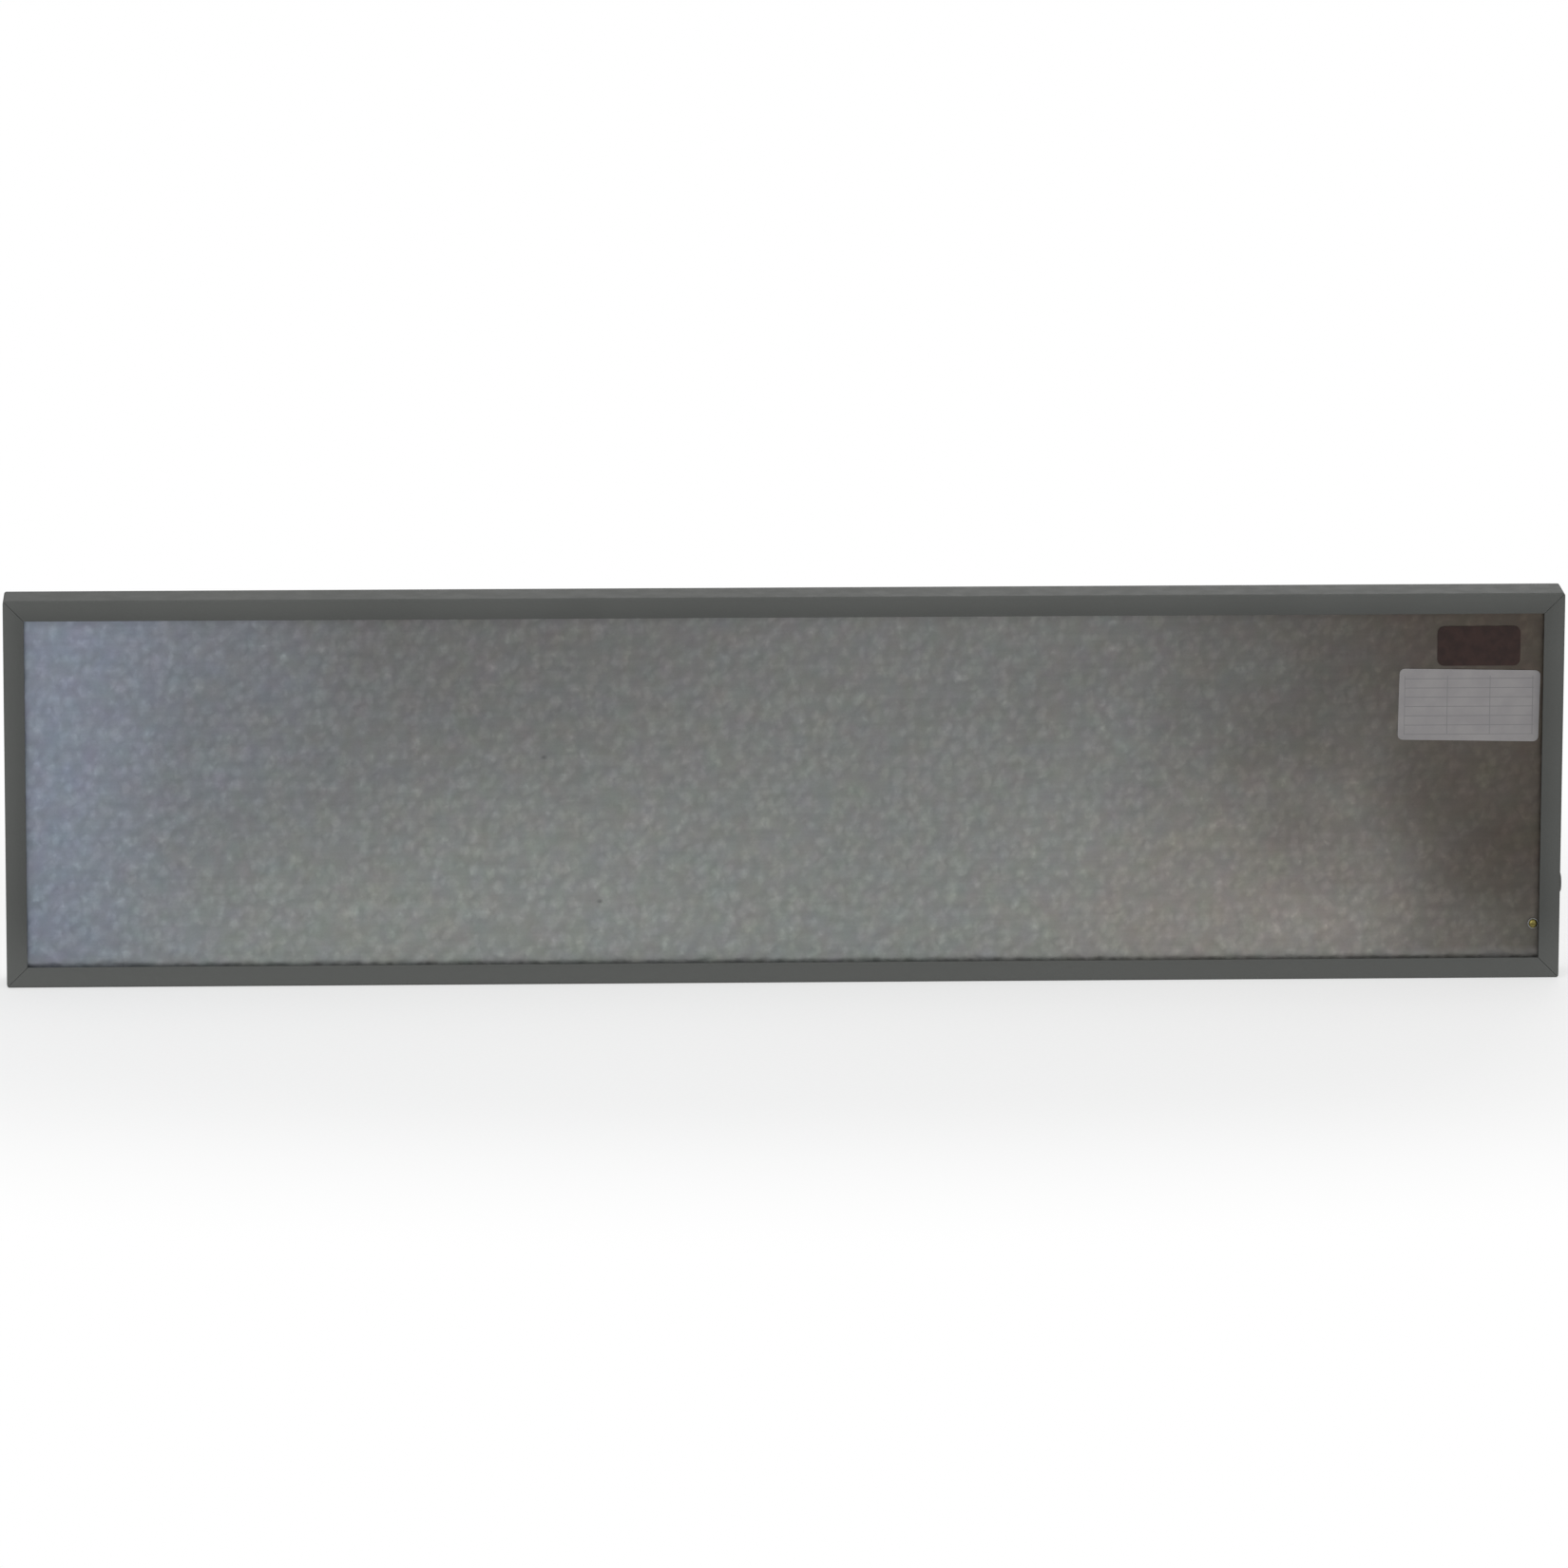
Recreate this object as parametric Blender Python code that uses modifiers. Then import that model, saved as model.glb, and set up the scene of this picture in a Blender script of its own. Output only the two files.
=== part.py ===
"""Slim electric wall panel heater, 1.2 m wide, modelled piece by piece.

The rear faces -Y and the heated front plate faces +Y. The panel stands on its bottom edge at z = 0,
and the origin is the middle of that edge. Four mitred aluminium rails hold the back sheet and the
front plate in their grooves, and the heating layers lie between the two.

Sizes are in millimetres here and become metres where a mesh or a curve is made. Two letters
describe a place in a rail's section: u is the distance inward from the outer face of the frame,
and v is the depth from the rear face towards the front.
"""

import math

import bmesh
import bpy
from mathutils import Matrix, Vector

MM = 0.001

# Overall size
WIDTH = 1200.0
HEIGHT = 304.0
DEPTH = 40.0

# Gap between pieces that touch on the real panel
FIT = 0.3

# Rail section
WALL = 1.6
REAR_LIP = 16.0
REAR_LIP_THICK = 1.8
ARRIS = 1.8
HOOK_SPACE = 4.0
RIB = 4.0
RIB_THICK = 1.2
WEB = 1.5
INNER_WALL = 1.4
KEY_CHAMBER = 8.4
AIR_CHANNEL = 5.6
PLATE_LEDGE = 9.0
FRONT_LIP = 7.0
FRONT_LIP_THICK = 1.6
CORNER_ROUNDING = 2.5

# Sheets and layers, from rear to front
BACK_SHEET = 0.8
FOIL = 0.4
CABLE = 2.4
CARRIER = 0.6
FRONT_PLATE = 1.5
SEAL_ARM = 0.6
EDGE_PLAY = 0.6

# Corner keys
KEY_REACH = 30.0
KEY_TOOTH = 3.0
KEY_TOOTH_DEPTH = 0.5

# Heating cable
CABLE_PITCH = 20.0
CABLE_MARGIN = 13.0
CABLE_LEFT_MARGIN = 16.0
CABLE_RIGHT_MARGIN = 48.0
RETURN_LEG = 18.0
START_LEG = 31.0

# Wiring corner, measured from the right end and from the bottom
GLAND_UP = 72.0
POCKET_WIDE = 150.0
POCKET_HIGH = 200.0
CORD = 7.0
CORD_PLAY = 0.4
GLAND_WALL = 2.2
GLAND_FLANGE_OUT = 2.1
GLAND_FLANGE_THICK = 1.8
GLAND_NUT_OUT = 1.6
GLAND_NUT_THICK = 3.6
BRACKET = 1.2
BRACKET_WIDE = 60.0
POLE_PITCH = 12.0
LEAD = 2.2
LEAD_STEP = 4.5
CLAMP_THICK = 2.4
CLAMP_WIDE = 8.0
SMALL_SCREW = 3.0
SMALL_SCREW_HEAD = 5.6
SMALL_SCREW_HEAD_HIGH = 2.0
POLE_SCREW = 2.0
POLE_SCREW_HEAD = 4.2
POLE_SCREW_HEAD_HIGH = 1.8
CUTOUT = 15.0
CAP_DEEP = 3.2
CUTOUT_BODY_DEEP = 6.0
TAB_OUT = 4.0
TAB_LONG = 5.0

# Earth screw, measured from the right end and from the bottom
EARTH_IN = 20.0
EARTH_UP = 42.0
EARTH_SHANK = 4.0
EARTH_HEAD = 7.0
EARTH_WASHER = 8.0
EARTH_HEAD_HIGH = 2.6
WASHER_THICK = 0.8
TAG_THICK = 0.8
TAG_RADIUS = 4.0
NUT_FLATS = 7.0
NUT_THICK = 3.2

# Rating label, measured from the right end and from the bottom
LABEL_WIDE = 109.0
LABEL_HIGH = 56.0
LABEL_THICK = 0.3
LABEL_IN = 72.5
LABEL_UP = 215.0
LABEL_CORNER = 4.0
LABEL_TILT = 1.0
STICKER_WIDE = 64.0
STICKER_HIGH = 31.0
STICKER_IN = 65.5
STICKER_UP = 261.5
STICKER_CORNER = 5.0

# Depths that follow from the sizes above
RIB_V0 = REAR_LIP_THICK + HOOK_SPACE
RIB_V1 = RIB_V0 + RIB_THICK
SHEET_V0 = RIB_V1 + FIT
SHEET_V1 = SHEET_V0 + BACK_SHEET
WEB1_V0 = SHEET_V1 + FIT
WEB1_V1 = WEB1_V0 + WEB
FRONT_LIP_V0 = DEPTH - FRONT_LIP_THICK
SEAL_V1 = FRONT_LIP_V0 - FIT
PLATE_V1 = SEAL_V1 - SEAL_ARM - FIT
PLATE_V0 = PLATE_V1 - FRONT_PLATE
SEAL_V0 = PLATE_V0 - FIT - SEAL_ARM
WEB3_V1 = SEAL_V0 - FIT
WEB3_V0 = WEB3_V1 - INNER_WALL
WEB2_V1 = WEB3_V0 - AIR_CHANNEL
WEB2_V0 = WEB2_V1 - INNER_WALL
CARRIER_V1 = PLATE_V0 - FIT
CARRIER_V0 = CARRIER_V1 - CARRIER
CABLE_V = CARRIER_V0 - FIT - CABLE / 2
FOIL_V1 = CABLE_V - CABLE / 2 - FIT
FOIL_V0 = FOIL_V1 - FOIL
BOARD_V0 = SHEET_V1 + FIT
BOARD_V1 = FOIL_V0 - FIT

# Distances inward that follow from the sizes above
CHAMBER_U1 = WALL + KEY_CHAMBER
INNER_U = CHAMBER_U1 + INNER_WALL
SHEET_U = WALL + EDGE_PLAY
LAYER_U = INNER_U + EDGE_PLAY
RIGHT = WIDTH / 2
LEFT = -RIGHT

# Wiring places that follow from the sizes above
GLAND_BORE = CORD + CORD_PLAY
GLAND_BODY = GLAND_BORE + 2 * GLAND_WALL
GLAND_FLANGE = GLAND_BODY + 2 * GLAND_FLANGE_OUT
GLAND_NUT_FLATS = GLAND_BODY + 2 * GLAND_NUT_OUT
CLAMP_DEEP = CORD / 2 + CLAMP_THICK + SMALL_SCREW_HEAD_HIGH + 3 * FIT
GLAND_V = max((WEB1_V1 + WEB2_V0) / 2, SHEET_V1 + CLAMP_DEEP)
BRACKET_V0 = GLAND_V + CORD / 2 + FIT
BRACKET_V1 = BRACKET_V0 + BRACKET
POCKET_V1 = GLAND_V + GLAND_NUT_FLATS / 2 + FIT
BRACKET_X1 = RIGHT - INNER_U - GLAND_NUT_THICK - 9.0
BRACKET_X0 = BRACKET_X1 - BRACKET_WIDE
BRACKET_Z0 = INNER_U + FIT
BLOCK_DEEP = 11.0
BLOCK_V1 = BRACKET_V0 - FIT
BLOCK_V0 = BLOCK_V1 - BLOCK_DEEP
BLOCK_LONG = 20.0
BLOCK_X0 = BRACKET_X0 + 8.0
BLOCK_X1 = BLOCK_X0 + BLOCK_LONG
POLE_V = BLOCK_V1 - 5.0
SLEEVE_OUTER = 4.6
SLEEVE_BORE = 3.2
SLEEVE_LONG = 18.0
EARTH_X = RIGHT - EARTH_IN
CUTOUT_X = RIGHT - POCKET_WIDE + 22.0
CUTOUT_Z = POCKET_HIGH - 60.0
SPLICE_LONG = 20.0
SPLICE_OUTER = 5.0
SPLICE_BORE = 3.0
SPLICE_V = POLE_V - 0.5
LEG_DROP = 30.0


def depth(v):
    """Y of a depth v behind the rear face."""
    return (v - DEPTH / 2) * MM


def place(x, v, z):
    """A point in metres from millimetres along the panel, in depth and in height."""
    return Vector((x * MM, depth(v), z * MM))


# Scene, collections and materials

for old in list(bpy.data.objects):
    bpy.data.objects.remove(old, do_unlink=True)


def new_collection(name):
    made = bpy.data.collections.new(name)
    bpy.context.scene.collection.children.link(made)
    return made


parts = new_collection("wall_panel_heater")
cutters = new_collection("cutters")


def material(name, colour, metallic, roughness):
    made = bpy.data.materials.new(name)
    made.use_nodes = True
    shader = made.node_tree.nodes["Principled BSDF"]
    shader.inputs["Base Color"].default_value = (*colour, 1.0)
    shader.inputs["Metallic"].default_value = metallic
    shader.inputs["Roughness"].default_value = roughness
    made.diffuse_color = (*colour, 1.0)
    return made


frame_paint = material("frame_paint", (0.10, 0.105, 0.10), 0.0, 0.45)
bare_aluminium = material("bare_aluminium", (0.70, 0.71, 0.72), 1.0, 0.35)
cast_aluminium = material("cast_aluminium", (0.50, 0.51, 0.52), 1.0, 0.55)
plate_paint = material("plate_paint", (0.80, 0.80, 0.78), 0.0, 0.40)
silicone = material("silicone", (0.05, 0.05, 0.05), 0.0, 0.60)
glass_cloth = material("glass_cloth", (0.75, 0.72, 0.62), 0.0, 0.80)
red_silicone = material("red_silicone", (0.45, 0.06, 0.04), 0.0, 0.50)
mineral_wool = material("mineral_wool", (0.55, 0.46, 0.25), 0.0, 0.95)
zinc_steel = material("zinc_steel", (0.62, 0.63, 0.65), 1.0, 0.40)
yellow_zinc = material("yellow_zinc", (0.60, 0.47, 0.16), 1.0, 0.35)
brass = material("brass", (0.72, 0.55, 0.22), 1.0, 0.35)
pale_plastic = material("pale_plastic", (0.78, 0.77, 0.72), 0.0, 0.50)
black_plastic = material("black_plastic", (0.02, 0.02, 0.02), 0.0, 0.50)
brown_insulation = material("brown_insulation", (0.20, 0.09, 0.04), 0.0, 0.50)
blue_insulation = material("blue_insulation", (0.04, 0.12, 0.42), 0.0, 0.50)
green_insulation = material("green_insulation", (0.18, 0.40, 0.05), 0.0, 0.50)
label_film = material("label_film", (0.62, 0.61, 0.61), 0.0, 0.45)
sticker_film = material("sticker_film", (0.04, 0.03, 0.03), 0.0, 0.40)


# Making shapes


def add_object(name, mesh, look):
    made = bpy.data.objects.new(name, mesh)
    parts.objects.link(made)
    if look is not None:
        mesh.materials.clear()
        mesh.materials.append(look)
    return made


def as_cutter(made):
    parts.objects.unlink(made)
    cutters.objects.link(made)
    made.hide_render = True
    made.display_type = "WIRE"
    return made


def cut(body, cutter, way="DIFFERENCE"):
    """Cuts the body with the cutter, and keeps the result in the body's own mesh."""
    step = body.modifiers.new(cutter.name, "BOOLEAN")
    step.operation = way
    step.solver = "EXACT"
    step.object = cutter


def box(name, x0, x1, v0, v1, z0, z1, look=None):
    """A block between two values of x, of depth and of height."""
    low, high = place(x0, v0, z0), place(x1, v1, z1)
    form = bmesh.new()
    size = high - low
    bmesh.ops.create_cube(form, size=1.0, matrix=Matrix.Diagonal((*size, 1.0)))
    mesh = bpy.data.meshes.new(name)
    form.to_mesh(mesh)
    form.free()
    made = add_object(name, mesh, look)
    made.location = (low + high) / 2
    return made


AXIS_TURN = {
    "X": Matrix.Rotation(math.radians(90), 4, "Y"),
    "Y": Matrix.Rotation(math.radians(-90), 4, "X"),
    "Z": Matrix.Identity(4),
}


def rod(name, centre, axis, diameter, length, look=None, sides=24, turn=0.0):
    """A round or many-sided bar about a centre, along one axis."""
    form = bmesh.new()
    bmesh.ops.create_cone(
        form,
        cap_ends=True,
        segments=sides,
        radius1=diameter / 2 * MM,
        radius2=diameter / 2 * MM,
        depth=length * MM,
        matrix=AXIS_TURN[axis] @ Matrix.Rotation(turn, 4, "Z"),
    )
    mesh = bpy.data.meshes.new(name)
    form.to_mesh(mesh)
    form.free()
    mesh.shade_smooth()
    mesh.set_sharp_from_angle(angle=math.radians(40))
    made = add_object(name, mesh, look)
    made.location = place(*centre)
    return made


def turned(name, centre, axis, profile, look=None, sides=28):
    """A turned piece. The profile gives (radius, height) down the outer side, from top to bottom."""
    form = bmesh.new()
    corners = [form.verts.new((radius * MM, 0.0, height * MM)) for radius, height in profile]
    for first, second in zip(corners, corners[1:]):
        form.edges.new((first, second))
    mesh = bpy.data.meshes.new(name)
    form.to_mesh(mesh)
    form.free()
    made = add_object(name, mesh, look)
    screw = made.modifiers.new("turn", "SCREW")
    screw.angle = math.tau
    screw.steps = sides
    screw.render_steps = sides
    screw.use_merge_vertices = True
    screw.merge_threshold = 0.0001 * 0.5
    screw.use_smooth_shade = True
    made.matrix_world = Matrix.Translation(place(*centre)) @ AXIS_TURN[axis]
    return made


def rounded(corners, steps=4):
    """Points of a closed outline whose corners (x, y, radius) are rounded by arcs."""
    points = []
    count = len(corners)
    for index, (x, y, radius) in enumerate(corners):
        here = Vector((x, y))
        if radius <= 0:
            points.append(here)
            continue
        before = (Vector(corners[index - 1][:2]) - here).normalized()
        after = (Vector(corners[(index + 1) % count][:2]) - here).normalized()
        half = before.angle(after) / 2
        centre = here + (before + after).normalized() * (radius / math.sin(half))
        reach = radius / math.tan(half)
        start = here + before * reach - centre
        sweep = start.angle_signed(here + after * reach - centre)
        for step in range(steps + 1):
            spin = Matrix.Rotation(-sweep * step / steps, 2)
            points.append(centre + spin @ start)
    return points


def slab(name, loops, thickness, look=None):
    """A flat outline, with any holes in it, extruded to a thickness about its own plane."""
    outline = bpy.data.curves.new(name + "_outline", "CURVE")
    outline.dimensions = "2D"
    outline.fill_mode = "BOTH"
    outline.extrude = thickness / 2 * MM
    for loop in loops:
        spline = outline.splines.new("POLY")
        spline.points.add(len(loop) - 1)
        for point, (x, y) in zip(spline.points, loop):
            point.co = (x * MM, y * MM, 0.0, 1.0)
        spline.use_cyclic_u = True
    drawn = bpy.data.objects.new(name + "_outline", outline)
    parts.objects.link(drawn)
    return solid_from_curve(name, drawn, look)


def solid_from_curve(name, drawn, look):
    """Turns a curve object into a mesh object with welded caps, and removes the curve."""
    bpy.context.view_layer.update()
    seen = drawn.evaluated_get(bpy.context.evaluated_depsgraph_get())
    mesh = bpy.data.meshes.new_from_object(seen)
    mesh.name = name
    form = bmesh.new()
    form.from_mesh(mesh)
    bmesh.ops.remove_doubles(form, verts=form.verts, dist=0.00001)
    bmesh.ops.recalc_face_normals(form, faces=form.faces)
    form.to_mesh(mesh)
    form.free()
    made = add_object(name, mesh, look)
    made.matrix_world = drawn.matrix_world
    bpy.data.objects.remove(drawn, do_unlink=True)
    return made


def upright(made, x, v, z):
    """Stands a slab up, so that its outline lies along the panel and its thickness in depth."""
    made.matrix_world = Matrix.Translation(place(x, v, z)) @ Matrix.Rotation(math.radians(90), 4, "X")
    return made


def lengthwise(made, x):
    """Lays a slab drawn as (height, depth) so that its thickness runs along the panel."""
    made.data.transform(Matrix(((0, 0, 1, 0), (0, 1, 0, -DEPTH / 2 * MM), (1, 0, 0, 0), (0, 0, 0, 1))))
    made.data.flip_normals()
    made.location = (x * MM, 0.0, 0.0)
    return made


def rectangle(x0, x1, z0, z1, radius=0.0):
    corners = [(x0, z0, radius), (x1, z0, radius), (x1, z1, radius), (x0, z1, radius)]
    return rounded(corners) if radius else [Vector(corner[:2]) for corner in corners]


def circle(x, y, diameter, sides=24):
    radius = diameter / 2
    turns = [math.tau * step / sides for step in range(sides)]
    return [Vector((x + radius * math.cos(turn), y + radius * math.sin(turn))) for turn in turns]


def sheet(name, inset, v0, v1, look, holes=(), corner=1.5):
    """A flat layer inset from the outer faces of the frame by one distance all round."""
    outline = rectangle(LEFT + inset, RIGHT - inset, inset, HEIGHT - inset, corner)
    made = slab(name, [outline, *holes], v1 - v0, look)
    return upright(made, 0.0, (v0 + v1) / 2, 0.0)


def smooth_route(points, step):
    """Points a step apart on a smooth curve through the route's own points, with straight ends."""
    route = [Vector(point) for point in points]
    ends = [route[0] * 2 - route[1], *route, route[-1] * 2 - route[-2]]
    result = []
    for before, start, end, after in zip(ends, ends[1:], ends[2:], ends[3:]):
        count = max(1, round((end - start).length / step))
        for index in range(count):
            t = index / count
            result.append(
                0.5
                * (
                    2 * start
                    + (end - before) * t
                    + (2 * before - 5 * start + 4 * end - after) * t**2
                    + (3 * start - before - 3 * end + after) * t**3
                )
            )
    return [*result, route[-1]]


def tube(name, points, diameter, look, resolution=2):
    """A round wire through points given as (x, depth, height)."""
    line = bpy.data.curves.new(name, "CURVE")
    line.dimensions = "3D"
    line.bevel_depth = diameter / 2 * MM
    line.bevel_resolution = resolution
    line.use_fill_caps = True
    spline = line.splines.new("POLY")
    spline.points.add(len(points) - 1)
    for point, (x, v, z) in zip(spline.points, points):
        point.co = (*place(x, v, z), 1.0)
    line.materials.append(look)
    made = bpy.data.objects.new(name, line)
    parts.objects.link(made)
    return made


# Frame rails

# Corners of the rail's section as (depth v, distance inward u, rounding)
RAIL_SECTION = [
    (0.0, 0.0, ARRIS),
    (0.0, REAR_LIP, 0.6),
    (REAR_LIP_THICK, REAR_LIP, 0.6),
    (REAR_LIP_THICK, WALL, 0.8),
    (RIB_V0, WALL, 0.0),
    (RIB_V0, RIB, 0.3),
    (RIB_V1, RIB, 0.3),
    (RIB_V1, WALL, 0.0),
    (WEB1_V0, WALL, 0.0),
    (WEB1_V0, INNER_U, 0.5),
    (WEB2_V1, INNER_U, 0.5),
    (WEB2_V1, WALL, 0.8),
    (WEB3_V0, WALL, 0.8),
    (WEB3_V0, PLATE_LEDGE, 0.4),
    (WEB3_V1, PLATE_LEDGE, 0.4),
    (WEB3_V1, WALL, 0.0),
    (FRONT_LIP_V0, WALL, 0.0),
    (FRONT_LIP_V0, FRONT_LIP, 0.4),
    (DEPTH, FRONT_LIP, 0.8),
    (DEPTH, 0.0, ARRIS),
]
KEY_CHAMBER_SECTION = [
    (WEB1_V1, WALL, 0.5),
    (WEB1_V1, CHAMBER_U1, 0.5),
    (WEB2_V0, CHAMBER_U1, 0.5),
    (WEB2_V0, WALL, 0.5),
]


def mitre(made, length):
    """Slides each end of a rail back by its distance inward, which makes the 45 degree cut."""
    cut_back = FIT / 2 * math.sqrt(2)
    for corner in made.data.vertices:
        inward = corner.co.z / MM
        end = (length / 2 - inward - cut_back) * MM
        corner.co.x = math.copysign(end, corner.co.x)


def rail(name, length, middle, turn):
    """One frame rail, drawn along X with its outer face down, then turned about the depth axis."""
    made = slab(name, [rounded(RAIL_SECTION, 3), rounded(KEY_CHAMBER_SECTION, 2)], length, frame_paint)
    made.data.transform(Matrix(((0, 0, 1, 0), (1, 0, 0, -DEPTH / 2 * MM), (0, 1, 0, 0), (0, 0, 0, 1))))
    mitre(made, length)
    made.data.shade_smooth()
    made.data.set_sharp_from_angle(angle=math.radians(35))
    made.location = (middle[0] * MM, 0.0, middle[1] * MM)
    made.rotation_euler = (0.0, math.radians(turn), 0.0)
    return made


rails = {
    "bottom_rail": rail("bottom_rail", WIDTH, (0.0, 0.0), 0),
    "top_rail": rail("top_rail", WIDTH, (0.0, HEIGHT), 180),
    "left_rail": rail("left_rail", HEIGHT, (LEFT, HEIGHT / 2), 90),
    "right_rail": rail("right_rail", HEIGHT, (RIGHT, HEIGHT / 2), -90),
}


def corner_rounder(name, x, z, toward_x, toward_z):
    """What is filed off one outer corner of the frame, seen from the rear."""
    reach = CORNER_ROUNDING
    over = 1.0
    arc = []
    for step in range(5):
        angle = math.radians(90 * step / 4)
        arc.append((reach * (1 - math.cos(angle)), reach * (1 - math.sin(angle))))
    shape = [(-over, -over), (-over, reach), *arc, (reach, -over)]
    outline = [Vector((x + toward_x * a, z + toward_z * b)) for a, b in shape]
    made = slab(name, [outline], DEPTH + 4.0)
    return as_cutter(upright(made, 0.0, DEPTH / 2, 0.0))


for side, x, toward_x in (("left", LEFT, 1), ("right", RIGHT, -1)):
    for edge, z, toward_z in (("bottom", 0.0, 1), ("top", HEIGHT, -1)):
        rounder = corner_rounder(f"round_{edge}_{side}", x, z, toward_x, toward_z)
        cut(rails[f"{edge}_rail"], rounder)
        cut(rails[f"{side}_rail"], rounder)


# Corner keys


def corner_key(name, x, z, toward_x, toward_z):
    """An L-shaped key in the rails' chambers, with teeth on the inner side of both legs."""
    low = WALL + FIT
    high = CHAMBER_U1 - FIT
    teeth = int((KEY_REACH - high - KEY_TOOTH) // KEY_TOOTH)
    leg = []
    for tooth in range(teeth):
        start = high + KEY_TOOTH * (tooth + 0.5)
        leg += [(start, high), (start, high - KEY_TOOTH_DEPTH), (start + KEY_TOOTH, high)]
    tip = [(KEY_REACH - 1.5, high), (KEY_REACH, high - 1.5), (KEY_REACH, low + 1.5), (KEY_REACH - 1.5, low)]
    along_x = [*leg, *tip]
    along_z = [(b, a) for a, b in reversed(along_x)]
    shape = [(high, high), *along_x, (low, low), *along_z]
    outline = [Vector((x + toward_x * a, z + toward_z * b)) for a, b in shape]
    thickness = WEB2_V0 - WEB1_V1 - 2 * FIT
    made = slab(name, [outline], thickness, cast_aluminium)
    return upright(made, 0.0, (WEB1_V1 + WEB2_V0) / 2, 0.0)


for side, x, toward_x in (("left", LEFT, 1), ("right", RIGHT, -1)):
    for edge, z, toward_z in (("bottom", 0.0, 1), ("top", HEIGHT, -1)):
        corner_key(f"corner_key_{edge}_{side}", x, z, toward_x, toward_z)


# Back sheet, front plate, edge seal and heating layers

earth_hole = circle(EARTH_X, EARTH_UP, EARTH_SHANK + 2 * FIT)
sheet("back_sheet", SHEET_U, SHEET_V0, SHEET_V1, bare_aluminium, holes=[earth_hole])
front_plate_inset = SHEET_U + SEAL_ARM
sheet("front_plate", front_plate_inset, PLATE_V0, PLATE_V1, plate_paint)

seal_window = rectangle(
    LEFT + FRONT_LIP - 0.3, RIGHT - FRONT_LIP + 0.3, FRONT_LIP - 0.3, HEIGHT - FRONT_LIP + 0.3, 1.5
)
seal = sheet("plate_seal", WALL + FIT, SEAL_V0, SEAL_V1, silicone, holes=[seal_window])
seal_groove = sheet(
    "seal_groove", front_plate_inset - FIT, PLATE_V0 - FIT, PLATE_V1 + FIT, None, corner=1.8
)
cut(seal, as_cutter(seal_groove))

sheet("heater_carrier_sheet", LAYER_U, CARRIER_V0, CARRIER_V1, glass_cloth)

# The cable's two ends pass to the wiring corner through one slot beside the right rail
return_x = RIGHT - RETURN_LEG
start_x = RIGHT - START_LEG
slot_x0 = start_x - CABLE * 2
splice_start_z = POCKET_HIGH - 40.0
splice_return_z = POCKET_HIGH - 50.0
slot_z0 = splice_start_z - LEG_DROP - SPLICE_LONG - 6.0
slot_z1 = splice_return_z + LEG_DROP + SPLICE_LONG + 6.0
cable_slot = rectangle(slot_x0, return_x + CABLE, slot_z0, slot_z1, 3.0)
sheet("reflector_foil", LAYER_U, FOIL_V0, FOIL_V1, bare_aluminium, holes=[cable_slot])


def heating_cable_route():
    """The cable's line as (x, depth, height): up the start leg's end, along the runs, back down."""
    low = LAYER_U + CABLE_MARGIN
    high = HEIGHT - LAYER_U - CABLE_MARGIN
    pairs = int(((high - low) / CABLE_PITCH - 1) // 2)
    runs = 2 * (pairs + 1)
    pitch = (high - low) / (runs - 1)
    bend = pitch / 2
    run_left = LEFT + LAYER_U + CABLE_LEFT_MARGIN + bend
    run_right = RIGHT - CABLE_RIGHT_MARGIN - bend
    route = []

    def dive(x, top, bottom, v_from, v_to):
        """A leg that changes depth smoothly while it goes from one height to another."""
        for step in range(1, 9):
            t = step / 9
            ease = t * t * (3 - 2 * t)
            route.append((x, v_from + (v_to - v_from) * ease, top + (bottom - top) * t))

    def quarter(x, z, radius, start, end):
        for step in range(7):
            turn = math.radians(start + (end - start) * step / 6)
            route.append((x + radius * math.cos(turn), CABLE_V, z + radius * math.sin(turn)))

    route.append((start_x, SPLICE_V, splice_start_z + 8.0))
    route.append((start_x, SPLICE_V, splice_start_z))
    dive(start_x, splice_start_z, splice_start_z - LEG_DROP, SPLICE_V, CABLE_V)
    route.append((start_x, CABLE_V, splice_start_z - LEG_DROP))
    quarter(start_x - bend, low + bend, bend, 0, -90)
    for run in range(runs):
        z = low + pitch * run
        last = run == runs - 1
        if run % 2 == 0:
            for step in range(9):
                turn = math.radians(270 - 180 * step / 8)
                x = run_left + bend * math.cos(turn)
                route.append((x, CABLE_V, z + bend + bend * math.sin(turn)))
        elif not last:
            for step in range(9):
                turn = math.radians(-90 + 180 * step / 8)
                x = run_right + bend * math.cos(turn)
                route.append((x, CABLE_V, z + bend + bend * math.sin(turn)))
    quarter(return_x - bend, high - bend, bend, 90, 0)
    route.append((return_x, CABLE_V, splice_return_z + LEG_DROP))
    dive(return_x, splice_return_z + LEG_DROP, splice_return_z, CABLE_V, SPLICE_V)
    route.append((return_x, SPLICE_V, splice_return_z))
    route.append((return_x, SPLICE_V, splice_return_z - 8.0))
    return route


tube("heating_cable", heating_cable_route(), CABLE, red_silicone)

board = sheet("insulation_board", LAYER_U, BOARD_V0, BOARD_V1, mineral_wool)
pocket = box(
    "wiring_pocket",
    RIGHT - POCKET_WIDE,
    RIGHT,
    0.0,
    POCKET_V1,
    0.0,
    POCKET_HIGH,
)
cut(board, as_cutter(pocket))
slot_cutter = slab("cable_slot_cutter", [cable_slot], DEPTH * 2)
cut(board, as_cutter(upright(slot_cutter, 0.0, DEPTH / 2, 0.0)))


# Cable gland in the right rail

gland_hole = rod("gland_hole", (RIGHT, GLAND_V, GLAND_UP), "X", GLAND_BODY + 2 * FIT, 60.0)
cut(rails["right_rail"], as_cutter(gland_hole))

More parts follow.
